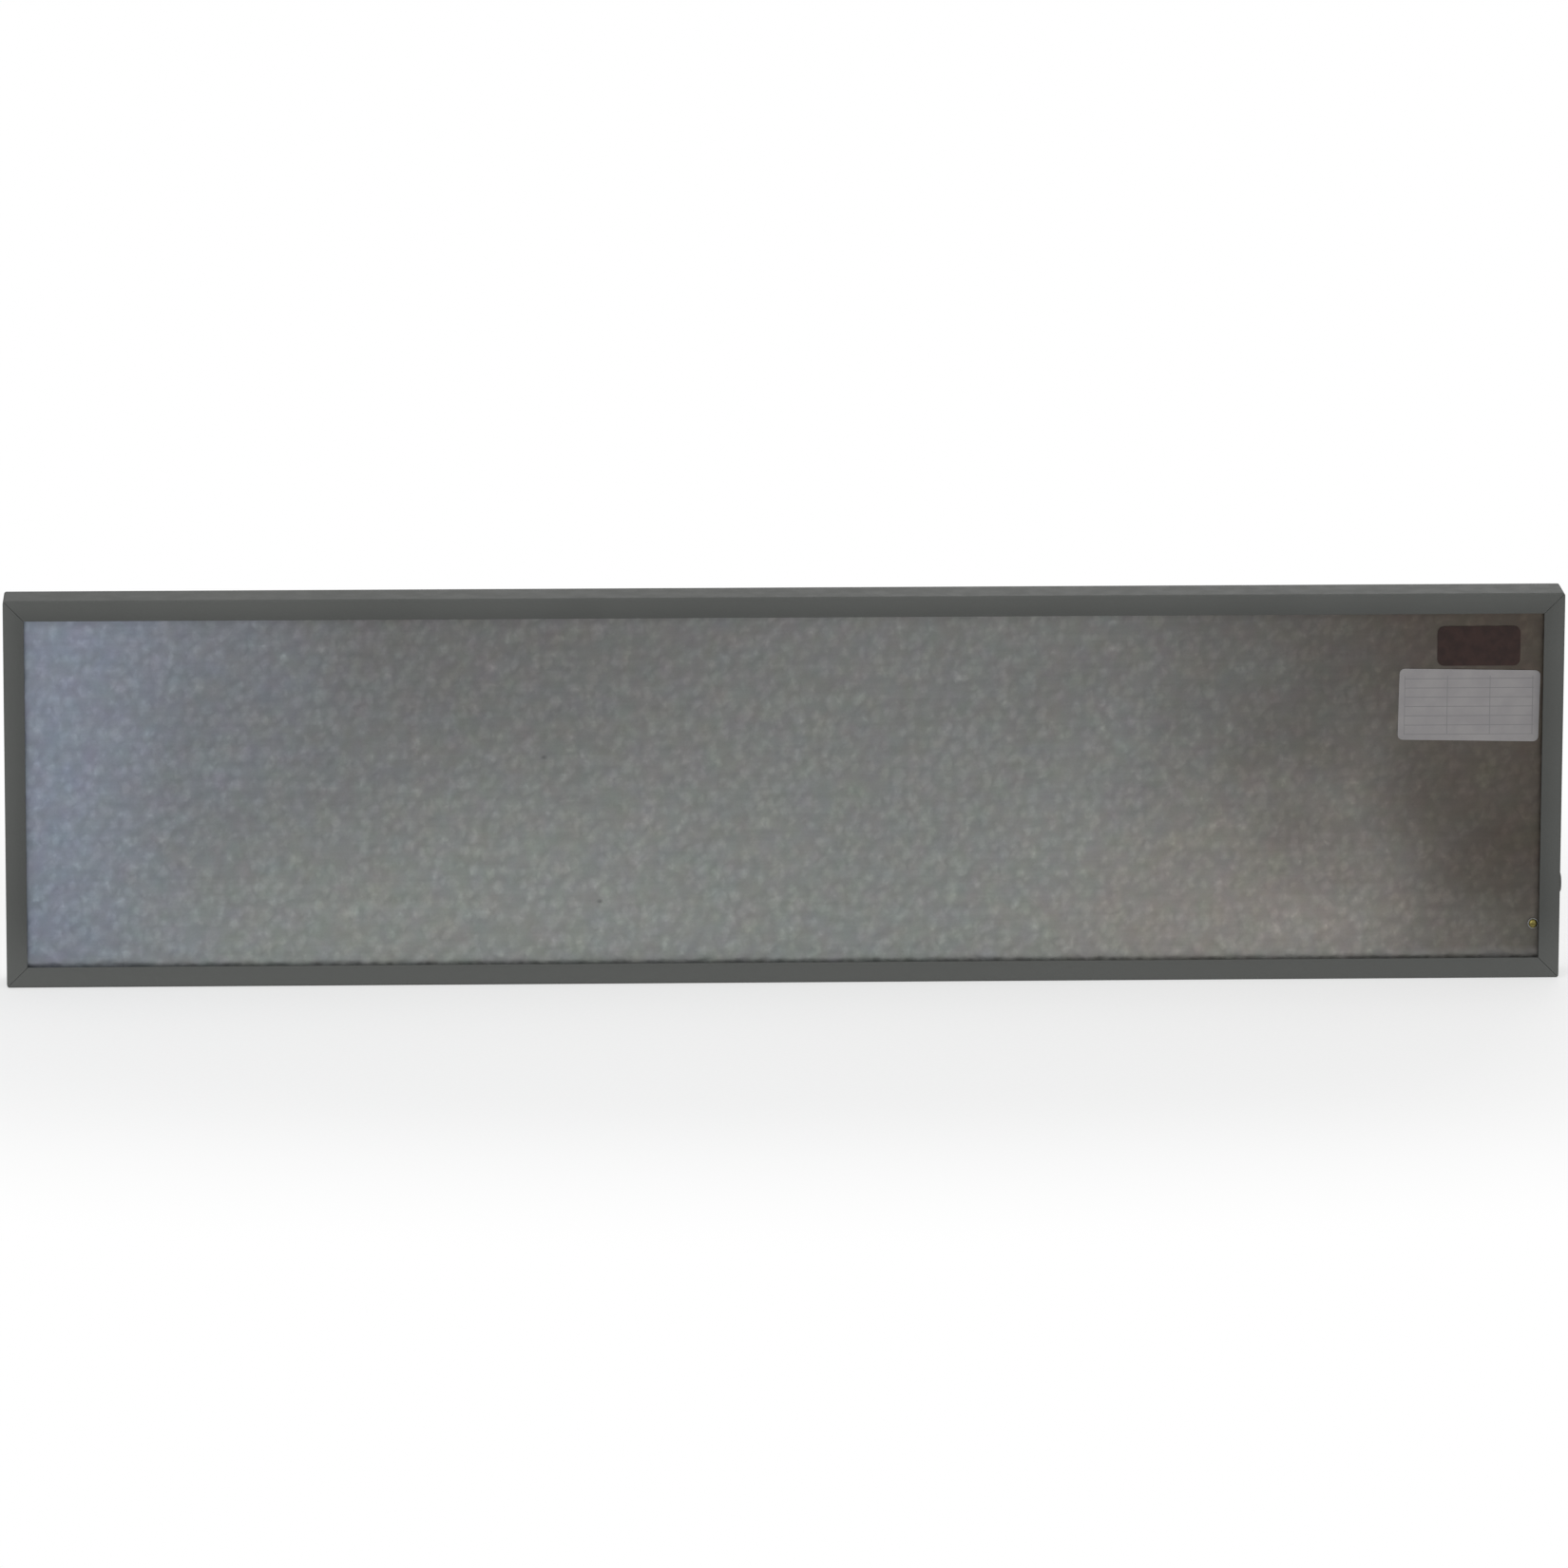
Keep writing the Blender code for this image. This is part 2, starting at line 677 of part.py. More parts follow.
gland_length = INNER_U + GLAND_NUT_THICK + 1.5
gland_bore_radius = GLAND_BORE / 2
gland_radius = GLAND_BODY / 2
gland_flange_radius = GLAND_FLANGE / 2
turned(
    "cable_gland",
    (RIGHT, GLAND_V, GLAND_UP),
    "X",
    [
        (gland_bore_radius + 0.6, FIT + GLAND_FLANGE_THICK),
        (gland_flange_radius - 0.8, FIT + GLAND_FLANGE_THICK),
        (gland_flange_radius, FIT + GLAND_FLANGE_THICK - 0.8),
        (gland_flange_radius, FIT),
        (gland_radius, FIT),
        (gland_radius, -gland_length + 0.6),
        (gland_radius - 0.6, -gland_length),
        (gland_bore_radius, -gland_length),
        (gland_bore_radius, FIT + GLAND_FLANGE_THICK - 0.6),
        (gland_bore_radius + 0.6, FIT + GLAND_FLANGE_THICK),
    ],
    black_plastic,
)

nut_middle = RIGHT - INNER_U - FIT - GLAND_NUT_THICK / 2
nut_place = (nut_middle, GLAND_V, GLAND_UP)
nut_corners = GLAND_NUT_FLATS / math.cos(math.pi / 6)
gland_nut = rod("gland_nut", nut_place, "X", nut_corners, GLAND_NUT_THICK, black_plastic, sides=6,
                turn=math.pi / 6)
nut_bore = rod("gland_nut_bore", nut_place, "X", GLAND_BODY + 2 * FIT, GLAND_NUT_THICK * 3)
cut(gland_nut, as_cutter(nut_bore))


# Screws


def screw(name, x, v, z, axis, away, size, long, look):
    """A pan head screw whose head starts at (x, v, z) and points away along the axis.

    The size is (head across, head height, shank).
    """
    head, head_high, shank = size
    head_radius = head / 2
    shank_radius = shank / 2
    profile = [
        (0.0, head_high),
        (head_radius * 0.55, head_high * 0.94),
        (head_radius * 0.86, head_high * 0.72),
        (head_radius, head_high * 0.35),
        (head_radius, 0.0),
        (shank_radius, 0.0),
        (shank_radius, -long + shank_radius * 0.6),
        (shank_radius * 0.4, -long),
        (0.0, -long),
    ]
    made = turned(name, (x, v, z), axis, profile, look, sides=16)
    if away < 0:
        made.matrix_world = made.matrix_world @ Matrix.Rotation(math.pi, 4, "X")
    return made


small_screw = (SMALL_SCREW_HEAD, SMALL_SCREW_HEAD_HIGH, SMALL_SCREW)
pole_screw = (POLE_SCREW_HEAD, POLE_SCREW_HEAD_HIGH, POLE_SCREW)


# Terminal bracket, with its foot screwed to the bottom rail

bracket_top = GLAND_UP + POLE_PITCH + 12.0
bracket = box(
    "terminal_bracket",
    BRACKET_X0,
    BRACKET_X1,
    BRACKET_V0,
    BRACKET_V1,
    BRACKET_Z0,
    bracket_top,
    zinc_steel,
)
foot = box(
    "bracket_foot",
    BRACKET_X0,
    BRACKET_X1,
    WEB1_V1 + 1.0,
    BRACKET_V0 + BRACKET / 2,
    BRACKET_Z0,
    BRACKET_Z0 + BRACKET,
)
cut(bracket, as_cutter(foot), "UNION")

foot_screw_v = (WEB1_V1 + BRACKET_V0) / 2
for side, x in (("left", BRACKET_X0 + 9.0), ("right", BRACKET_X1 - 22.0)):
    hole = as_cutter(
        rod(f"foot_hole_{side}", (x, foot_screw_v, INNER_U), "Z", SMALL_SCREW + 2 * FIT, 8.0)
    )
    cut(bracket, hole)
    cut(rails["bottom_rail"], hole)
    screw(
        f"bracket_screw_{side}",
        x,
        foot_screw_v,
        BRACKET_Z0 + BRACKET + FIT,
        "Z",
        1,
        small_screw,
        INNER_WALL + BRACKET + 3 * FIT + 3.0,
        zinc_steel,
    )


# Terminal block with three poles, each with a brass sleeve and two clamping screws

block_low = GLAND_UP - POLE_PITCH * 1.5
block_high = GLAND_UP + POLE_PITCH * 1.5
poles = {
    "neutral": GLAND_UP - POLE_PITCH,
    "earth": GLAND_UP,
    "live": GLAND_UP + POLE_PITCH,
}
tower_half = 3.9
shoulder_v = POLE_V + 0.5
block_outline = [(block_low, BLOCK_V1, 0.5), (block_low, shoulder_v, 0.8)]
for z in poles.values():
    block_outline += [
        (z - tower_half, shoulder_v, 0.8),
        (z - tower_half, BLOCK_V0, 1.0),
        (z + tower_half, BLOCK_V0, 1.0),
        (z + tower_half, shoulder_v, 0.8),
    ]
block_outline += [(block_high, shoulder_v, 0.8), (block_high, BLOCK_V1, 0.5)]
block_x = (BLOCK_X0 + BLOCK_X1) / 2
block = slab("terminal_block", [rounded(block_outline, 2)], BLOCK_LONG, pale_plastic)
lengthwise(block, block_x)

clamp_reach = SLEEVE_LONG / 2 - 4.5
pole_head_v = POLE_V - SLEEVE_OUTER / 2 - 0.9
screw_top = POLE_V - LEAD / 2 - FIT
for pole, z in poles.items():
    bore = as_cutter(
        rod(f"pole_bore_{pole}", (block_x, POLE_V, z), "X", SLEEVE_OUTER + 2 * FIT, BLOCK_LONG * 2,
            turn=math.pi / 24)
    )
    cut(block, bore)
    sleeve = rod(f"terminal_sleeve_{pole}", (block_x, POLE_V, z), "X", SLEEVE_OUTER, SLEEVE_LONG, brass,
                 sides=16)
    cut(sleeve, as_cutter(
        rod(f"sleeve_bore_{pole}", (block_x, POLE_V, z), "X", SLEEVE_BORE, SLEEVE_LONG * 2, sides=16)
    ))
    for side, x in (("out", block_x - clamp_reach), ("in", block_x + clamp_reach)):
        screw_room = as_cutter(
            rod(f"screw_room_{side}_{pole}", (x, BLOCK_V0, z), "Y", POLE_SCREW_HEAD + 2 * FIT,
                (POLE_V - BLOCK_V0) * 2 - 2.0, sides=20, turn=math.pi / 20)
        )
        cut(block, screw_room)
        tapped_hole = as_cutter(
            rod(f"tapped_hole_{side}_{pole}", (x, POLE_V - SLEEVE_OUTER / 2, z), "Y",
                POLE_SCREW + 2 * FIT, SLEEVE_OUTER, sides=12, turn=math.pi / 12)
        )
        cut(sleeve, tapped_hole)
        cut(block, tapped_hole)
        screw(
            f"clamp_screw_{side}_{pole}",
            x,
            pole_head_v,
            z,
            "Y",
            -1,
            pole_screw,
            screw_top - pole_head_v,
            zinc_steel,
        )


# Cord clamp between the gland and the terminal block

clamp_x = BRACKET_X1 - CLAMP_WIDE / 2 - 3.0
clamp_seat_v = GLAND_V - CORD / 2 - FIT
clamp_screw_out = CORD / 2 + SMALL_SCREW / 2 + 2.2
clamp_end = clamp_screw_out + 4.0
leg_in = CORD / 2 + 0.8
clamp_outline = rounded(
    [
        (GLAND_UP - clamp_end, clamp_seat_v - CLAMP_THICK, 1.0),
        (GLAND_UP + clamp_end, clamp_seat_v - CLAMP_THICK, 1.0),
        (GLAND_UP + clamp_end, BLOCK_V1, 0.5),
        (GLAND_UP + leg_in, BLOCK_V1, 0.5),
        (GLAND_UP + leg_in, clamp_seat_v, 1.0),
        (GLAND_UP - leg_in, clamp_seat_v, 1.0),
        (GLAND_UP - leg_in, BLOCK_V1, 0.5),
        (GLAND_UP - clamp_end, BLOCK_V1, 0.5),
    ],
    2,
)
clamp = slab("cord_clamp", [clamp_outline], CLAMP_WIDE, pale_plastic)
lengthwise(clamp, clamp_x)
for edge, z in (("lower", GLAND_UP - clamp_screw_out), ("upper", GLAND_UP + clamp_screw_out)):
    hole = as_cutter(
        rod(f"clamp_hole_{edge}", (clamp_x, BRACKET_V0, z), "Y", SMALL_SCREW + 2 * FIT, DEPTH, sides=16)
    )
    cut(clamp, hole)
    cut(bracket, hole)
    head_v = clamp_seat_v - CLAMP_THICK - FIT
    screw(
        f"clamp_bar_screw_{edge}",
        clamp_x,
        head_v,
        z,
        "Y",
        -1,
        small_screw,
        BRACKET_V1 - head_v - 0.2,
        zinc_steel,
    )


# Overheat cut-out, seated in the board against the reflector foil

cutout_radius = CUTOUT / 2
cutout_hole = rod("cutout_hole", (CUTOUT_X, BOARD_V1, CUTOUT_Z), "Y", CUTOUT + 2 * FIT, DEPTH)
cut(board, as_cutter(cutout_hole))
cap_face = FOIL_V0 - FIT
turned(
    "cutout_cap",
    (CUTOUT_X, cap_face, CUTOUT_Z),
    "Y",
    [
        (0.0, 0.0),
        (cutout_radius - 0.6, 0.0),
        (cutout_radius, -0.6),
        (cutout_radius, -CAP_DEEP),
        (0.0, -CAP_DEEP),
    ],
    bare_aluminium,
)
body_front = -CAP_DEEP - FIT
body_rear = body_front - CUTOUT_BODY_DEEP
cutout_body = turned(
    "cutout_body",
    (CUTOUT_X, cap_face, CUTOUT_Z),
    "Y",
    [
        (0.0, body_front),
        (cutout_radius - 0.8, body_front),
        (cutout_radius - 0.8, body_rear + 2.0),
        (cutout_radius - 2.4, body_rear),
        (0.0, body_rear),
    ],
    black_plastic,
)
for side, x in (("left", CUTOUT_X - TAB_OUT), ("right", CUTOUT_X + TAB_OUT)):
    tab = box(
        f"cutout_tab_{side}",
        x - 0.4,
        x + 0.4,
        cap_face + body_rear - TAB_LONG,
        cap_face + body_rear + 1.0,
        CUTOUT_Z - 2.4,
        CUTOUT_Z + 2.4,
    )
    cut(cutout_body, as_cutter(tab), "UNION")


# Splice sleeves and leads

for name, x, z in (
    ("splice_sleeve_start", start_x, splice_start_z + SPLICE_LONG / 2),
    ("splice_sleeve_return", return_x, splice_return_z - SPLICE_LONG / 2),
):
    sleeve = rod(name, (x, SPLICE_V, z), "Z", SPLICE_OUTER, SPLICE_LONG, brass, sides=16)
    cut(sleeve, as_cutter(rod(f"{name}_bore", (x, SPLICE_V, z), "Z", SPLICE_BORE, SPLICE_LONG * 2,
                              sides=16)))

lead_start = BLOCK_X0 + 7.0
tab_v = cap_face + body_rear - 3.0
leads = {
    "live_lead": (
        [
            (lead_start, POLE_V, poles["live"]),
            (BLOCK_X0, POLE_V, poles["live"]),
            (BLOCK_X0 - 4, POLE_V, poles["live"]),
            (BLOCK_X0 - 14, POLE_V + 1.5, poles["live"] + 6),
            (BLOCK_X0 - 26, POLE_V + 1.5, CUTOUT_Z - 26),
            (CUTOUT_X + TAB_OUT + 12, tab_v + 1, CUTOUT_Z - 10),
            (CUTOUT_X + TAB_OUT + 7, tab_v, CUTOUT_Z - 1),
            (CUTOUT_X + TAB_OUT + 4, tab_v, CUTOUT_Z),
            (CUTOUT_X + TAB_OUT + 0.8, tab_v, CUTOUT_Z),
        ],
        brown_insulation,
    ),
    "link_lead": (
        [
            (return_x, SPLICE_V, splice_return_z - SPLICE_LONG + 8),
            (return_x, SPLICE_V, splice_return_z - SPLICE_LONG),
            (return_x, SPLICE_V, splice_return_z - SPLICE_LONG - 5),
            (return_x - 7, SPLICE_V, splice_return_z - SPLICE_LONG - 12),
            (return_x - 28, SPLICE_V, splice_return_z - SPLICE_LONG - 14),
            (CUTOUT_X + 40, SPLICE_V, CUTOUT_Z + 14),
            (CUTOUT_X, tab_v - 1.5, CUTOUT_Z + 16),
            (CUTOUT_X - TAB_OUT - 9, tab_v, CUTOUT_Z + 6),
            (CUTOUT_X - TAB_OUT - 7, tab_v, CUTOUT_Z + 1),
            (CUTOUT_X - TAB_OUT - 4, tab_v, CUTOUT_Z),
            (CUTOUT_X - TAB_OUT - 0.8, tab_v, CUTOUT_Z),
        ],
        brown_insulation,
    ),
    "neutral_lead": (
        [
            (start_x, SPLICE_V, splice_start_z + SPLICE_LONG - 8),
            (start_x, SPLICE_V, splice_start_z + SPLICE_LONG),
            (start_x, SPLICE_V, splice_start_z + SPLICE_LONG + 4),
            (start_x - 8, SPLICE_V - 2, splice_start_z + SPLICE_LONG + 11),
            (start_x - 22, POLE_V - 4, splice_start_z + SPLICE_LONG),
            (BLOCK_X0 - 6, POLE_V - 4, poles["live"] + 40),
            (BLOCK_X0 - 11, POLE_V - 4, poles["live"] + 6),
            (BLOCK_X0 - 12, POLE_V - 4, poles["earth"] - 1),
            (BLOCK_X0 - 9, POLE_V - 1, poles["neutral"]),
            (BLOCK_X0 - 4, POLE_V, poles["neutral"]),
            (BLOCK_X0, POLE_V, poles["neutral"]),
            (lead_start, POLE_V, poles["neutral"]),
        ],
        blue_insulation,
    ),
    "earth_lead": (
        [
            (lead_start, POLE_V, poles["earth"]),
            (BLOCK_X0, POLE_V, poles["earth"]),
            (BLOCK_X0 - 4, POLE_V, poles["earth"]),
            (BLOCK_X0 - 15, POLE_V, poles["earth"] - 8),
            (BLOCK_X0 - 12, POLE_V - 1, poles["neutral"] - 16),
            (BLOCK_X0 + 4, POLE_V - 2, EARTH_UP - 12),
            (EARTH_X - 26, BOARD_V0 + 1.7, EARTH_UP - 9),
            (EARTH_X - 17.0, BOARD_V0 + 1.4, EARTH_UP - 1),
            (EARTH_X - 13.0, BOARD_V0 + 1.4, EARTH_UP),
            (EARTH_X - 10.1, BOARD_V0 + 1.4, EARTH_UP),
        ],
        green_insulation,
    ),
}
for name, (points, look) in leads.items():
    tube(name, smooth_route(points, LEAD_STEP), LEAD, look)


# Earth screw through the back sheet, with its washer, tag and nut

washer_v = SHEET_V0 - FIT - WASHER_THICK / 2
shank_hole = EARTH_SHANK + 2 * FIT


def earth_ring(name, v, thick, outer, look, sides=24):
    ring = slab(name, [circle(0.0, 0.0, outer, sides), circle(0.0, 0.0, shank_hole)], thick, look)
    return upright(ring, EARTH_X, v, EARTH_UP)


earth_ring("earth_washer", washer_v, WASHER_THICK, EARTH_WASHER, zinc_steel)
head_seat_v = SHEET_V0 - 2 * FIT - WASHER_THICK
tag_v = BOARD_V0 + TAG_THICK / 2
nut_v = BOARD_V0 + TAG_THICK + FIT + NUT_THICK / 2
tag_outline = []
for step in range(15):
    turn = math.radians(-150 + 300 * step / 14)
    tag_outline.append(Vector((TAG_RADIUS * math.cos(turn), TAG_RADIUS * math.sin(turn))))
tag_outline += [Vector((-9.6, 1.6)), Vector((-9.6, -1.6))]
earth_tag = slab("earth_tag", [tag_outline, circle(0.0, 0.0, shank_hole)], TAG_THICK, brass)
upright(earth_tag, EARTH_X, tag_v, EARTH_UP)
earth_ring("earth_nut", nut_v, NUT_THICK, NUT_FLATS / math.cos(math.pi / 6), zinc_steel, sides=6)
earth_screw = screw(
    "earth_screw",
    EARTH_X,
    head_seat_v,
    EARTH_UP,
    "Y",
    -1,
    (EARTH_HEAD, EARTH_HEAD_HIGH, EARTH_SHANK),
    nut_v + NUT_THICK / 2 + 1.2 - head_seat_v,
    yellow_zinc,
)
cross = as_cutter(
    box("drive_slot", EARTH_X - 2.4, EARTH_X + 2.4, head_seat_v - 4.0, head_seat_v - 1.5,
        EARTH_UP - 0.4, EARTH_UP + 0.4)
)
cut(earth_screw, cross)


# Rating label, stuck on a little askew, and a plain sticker above it


def film(name, wide, high, corner, x, z, look, tilt=0.0):
    """A thin film with rounded corners on the back sheet, turned clockwise by the tilt in degrees."""
    outline = rectangle(-wide / 2, wide / 2, -high / 2, high / 2, corner)
    turn = Matrix.Rotation(math.radians(-tilt), 2)
    made = slab(name, [[turn @ point for point in outline]], LABEL_THICK, look)
    return upright(made, x, SHEET_V0 - FIT - LABEL_THICK / 2, z)


label_x = RIGHT - LABEL_IN
sticker_x = RIGHT - STICKER_IN
film("rating_label", LABEL_WIDE, LABEL_HIGH, LABEL_CORNER, label_x, LABEL_UP, label_film, LABEL_TILT)
film("plain_sticker", STICKER_WIDE, STICKER_HIGH, STICKER_CORNER, sticker_x, STICKER_UP, sticker_film)
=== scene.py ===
import math

import bmesh
import bpy
import numpy as np
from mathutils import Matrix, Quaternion, Vector


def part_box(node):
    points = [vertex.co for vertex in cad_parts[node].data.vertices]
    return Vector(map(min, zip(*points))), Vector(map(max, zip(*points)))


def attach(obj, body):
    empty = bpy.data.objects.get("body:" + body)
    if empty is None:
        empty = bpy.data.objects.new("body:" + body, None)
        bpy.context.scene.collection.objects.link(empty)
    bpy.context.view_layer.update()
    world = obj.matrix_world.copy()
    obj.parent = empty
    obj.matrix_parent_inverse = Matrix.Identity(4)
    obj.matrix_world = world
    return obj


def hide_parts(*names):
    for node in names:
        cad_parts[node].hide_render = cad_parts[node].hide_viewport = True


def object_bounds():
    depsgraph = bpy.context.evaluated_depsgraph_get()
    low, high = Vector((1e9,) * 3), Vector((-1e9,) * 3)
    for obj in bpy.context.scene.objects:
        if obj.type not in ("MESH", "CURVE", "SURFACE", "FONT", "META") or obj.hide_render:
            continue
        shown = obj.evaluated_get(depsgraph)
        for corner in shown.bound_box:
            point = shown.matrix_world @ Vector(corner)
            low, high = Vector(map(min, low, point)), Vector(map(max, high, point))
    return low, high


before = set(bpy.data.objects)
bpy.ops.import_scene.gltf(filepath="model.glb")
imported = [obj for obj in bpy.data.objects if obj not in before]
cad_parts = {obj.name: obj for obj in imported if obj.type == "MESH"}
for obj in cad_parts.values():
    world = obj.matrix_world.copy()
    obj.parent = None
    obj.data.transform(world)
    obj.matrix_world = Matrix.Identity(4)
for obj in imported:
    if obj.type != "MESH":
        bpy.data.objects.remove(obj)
cad_low, cad_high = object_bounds()
scene = bpy.context.scene
scene.view_settings.view_transform = "Standard"

MM = 0.001
WHITE = (1.0, 1.0, 1.0, 1.0)

# Camera

IMAGE_SIDE = 1650
SENSOR = 36.0
FOCAL_PIXELS = 10951.0
CAMERA_DISTANCE = 8.0
CAMERA_AZIMUTH = math.radians(-2.4)
CAMERA_ELEVATION = math.radians(11.4)
CAMERA_ROLL = math.radians(0.17)
CAMERA_SHIFT = (0.015, -0.12)
CLIP_END = 200.0
AIM = Vector((-0.0191, 0.0, 0.3012))


def add_camera():
    """The photograph's view: from behind the heater, a little above it."""
    data = bpy.data.cameras.new("camera")
    data.sensor_width = SENSOR
    data.lens = FOCAL_PIXELS / IMAGE_SIDE * SENSOR
    data.shift_x, data.shift_y = CAMERA_SHIFT
    data.clip_end = CLIP_END
    camera = bpy.data.objects.new("camera", data)
    scene.collection.objects.link(camera)
    away = Vector((
        math.sin(CAMERA_AZIMUTH) * math.cos(CAMERA_ELEVATION),
        -math.cos(CAMERA_AZIMUTH) * math.cos(CAMERA_ELEVATION),
        math.sin(CAMERA_ELEVATION),
    ))
    camera.location = AIM + away * CAMERA_DISTANCE
    camera.rotation_mode = "QUATERNION"
    upright = (-away).to_track_quat("-Z", "Y")
    camera.rotation_quaternion = Quaternion(away, CAMERA_ROLL) @ upright
    scene.camera = camera


add_camera()


# Node helpers. Every pattern is laid out in millimetres of the object's own space.

EVEN = (1.0, 1.0, 1.0)
UNTURNED = (0.0, 0.0, 0.0)

# Bands along an axis repeat every 0.314 units at a scale of 1, so at this scale once in a unit.
WAVE_SCALE = 0.314

# Pebbles: their stretch and turn in degrees, how far noise pushes them about, in cells, how soft
# their valleys are, and the distances from a cell's middle at which valley and crown are reached.
PEBBLE_STRETCH = (1.0, 1.0, 0.95)
PEBBLE_TURN = (0, 20, 0)
PEBBLE_WOBBLE = (0.8, 0.8, 0.8)
PEBBLE_SOFTNESS = 0.6
PEBBLE_VALLEY = 0.65
PEBBLE_CROWN = 0.1

# Edge wear: how far it reaches in millimetres, the rays that round a normal, and the cosines
# between which a rounded normal goes from flat to edge.
EDGE_REACH = 0.6
EDGE_SAMPLES = 4
EDGE_FLAT = 0.995
EDGE_TURNED = 0.9


class Look:
    """One material: a Principled shader and the pattern nodes that feed it."""

    def __init__(self, name, metallic=0.0, roughness=0.5):
        self.material = bpy.data.materials.new(name)
        self.material.use_nodes = True
        self.tree = self.material.node_tree
        self.shader = self.tree.nodes["Principled BSDF"]
        self.shader.inputs["Metallic"].default_value = metallic
        self.shader.inputs["Roughness"].default_value = roughness
        self.coords = self.node("ShaderNodeTexCoord").outputs["Object"]

    def node(self, kind, **settings):
        made = self.tree.nodes.new(kind)
        for key, value in settings.items():
            setattr(made, key, value)
        return made

    def join(self, source, target):
        self.tree.links.new(source, target)

    def space(self, size=1.0, stretch=EVEN, turn=UNTURNED):
        """Coordinates in which one unit is size millimetres, longer along each axis by stretch."""
        turned = self.node("ShaderNodeMapping")
        turned.inputs["Rotation"].default_value = [math.radians(a) for a in turn]
        self.join(self.coords, turned.inputs["Vector"])
        scaled = self.node("ShaderNodeMapping")
        scaled.inputs["Scale"].default_value = [1.0 / (MM * size * s) for s in stretch]
        self.join(turned.outputs["Vector"], scaled.inputs["Vector"])
        return scaled.outputs["Vector"]

    def texture(self, kind, place, sockets, **settings):
        """A texture node in the coordinates of place, with values for its sockets by name."""
        made = self.node(kind, **settings)
        for socket, number in {"Scale": 1.0, **sockets}.items():
            made.inputs[socket].default_value = number
        self.join(place, made.inputs["Vector"])
        return made

    def noise(self, size, detail=2.0, rough=0.5, stretch=EVEN, turn=UNTURNED, bend=0.0):
        made = self.texture("ShaderNodeTexNoise", self.space(size, stretch, turn), {
            "Detail": detail, "Roughness": rough, "Distortion": bend,
        })
        return made.outputs["Fac"]

    def tints(self, size):
        """Soft patches of differing hue."""
        made = self.texture("ShaderNodeTexNoise", self.space(size), {"Detail": 2.0})
        return made.outputs["Color"]

    def creases(self, size):
        """0 on the borders between irregular facets, rising towards their middles."""
        made = self.texture("ShaderNodeTexVoronoi", self.space(size), {},
                            feature="DISTANCE_TO_EDGE")
        return made.outputs["Distance"]

    def stripes(self, size, axis, bend=0.0):
        made = self.texture("ShaderNodeTexWave", self.space(size), {
            "Scale": WAVE_SCALE, "Distortion": bend,
        }, wave_type="BANDS", bands_direction=axis)
        return made.outputs["Fac"]

    def pebbles(self, size, shift=(0.0, 0.0, 0.0)):
        """Rounded grains with soft valleys between them: 1 on the crowns, 0 in the valleys."""
        moved = self.node("ShaderNodeVectorMath", operation="ADD")
        self.join(self.space(size, PEBBLE_STRETCH, PEBBLE_TURN), moved.inputs[0])
        moved.inputs[1].default_value = shift
        place = moved.outputs["Vector"]
        wobble = self.texture("ShaderNodeTexNoise", place, {"Detail": 2.0})
        bent = self.node("ShaderNodeVectorMath", operation="MULTIPLY_ADD")
        self.join(wobble.outputs["Color"], bent.inputs[0])
        bent.inputs[1].default_value = PEBBLE_WOBBLE
        self.join(place, bent.inputs[2])
        made = self.texture("ShaderNodeTexVoronoi", bent.outputs["Vector"], {
            "Smoothness": PEBBLE_SOFTNESS,
        }, feature="SMOOTH_F1")
        return self.span(made.outputs["Distance"], PEBBLE_VALLEY, PEBBLE_CROWN)

    def span(self, value, low, high, to_low=0.0, to_high=1.0, steps="SMOOTHSTEP"):
        """From to_low where value is low to to_high where it is high, and level beyond them."""
        made = self.node("ShaderNodeMapRange", interpolation_type=steps)
        sockets = ("From Min", "From Max", "To Min", "To Max")
        for socket, number in zip(sockets, (low, high, to_low, to_high)):
            made.inputs[socket].default_value = number
        self.join(value, made.inputs["Value"])
        return made.outputs["Result"]

    def maths(self, kind, a, b=0.0):
        made = self.node("ShaderNodeMath", operation=kind)
        for socket, value in zip(made.inputs, (a, b)):
            if isinstance(value, (int, float)):
                socket.default_value = value
            else:
                self.join(value, socket)
        return made.outputs["Value"]

    def lines(self, value, pitch, half):
        """1 on thin lines at every multiple of pitch, half millimetres to each side."""
        near = self.maths("PINGPONG", value, pitch / 2.0)
        return self.span(near, half * 1.3, half * 0.7)

    def between(self, value, low, high):
        """1 between two places, in millimetres."""
        above = self.maths("GREATER_THAN", value, low)
        return self.maths("MULTIPLY", above, self.maths("LESS_THAN", value, high))

    def near_edge(self):
        """1 on the outer edges of a solid, fading within EDGE_REACH, from its rounded normals."""
        rounded = self.node("ShaderNodeBevel", samples=EDGE_SAMPLES)
        rounded.inputs["Radius"].default_value = EDGE_REACH * MM
        plain = self.node("ShaderNodeNewGeometry").outputs["True Normal"]
        turn = self.node("ShaderNodeVectorMath", operation="DOT_PRODUCT")
        self.join(rounded.outputs["Normal"], turn.inputs[0])
        self.join(plain, turn.inputs[1])
        return self.span(turn.outputs["Value"], EDGE_FLAT, EDGE_TURNED)

    def along(self, axis):
        """The place along one axis, in millimetres."""
        split = self.node("ShaderNodeSeparateXYZ")
        self.join(self.space(), split.inputs["Vector"])
        return split.outputs[axis]

    def to_nearer_end(self, axis, low, high):
        """How far a place lies inside the nearer of two ends, given in metres."""
        place = self.along(axis)
        from_low = self.maths("SUBTRACT", place, low / MM)
        return self.maths("MINIMUM", from_low, self.maths("SUBTRACT", high / MM, place))

    def inset(self, low, high):
        """How far a place lies inside a box's outline, seen from behind, in millimetres."""
        to_side = self.to_nearer_end("X", low.x, high.x)
        return self.maths("MINIMUM", to_side, self.to_nearer_end("Z", low.z, high.z))

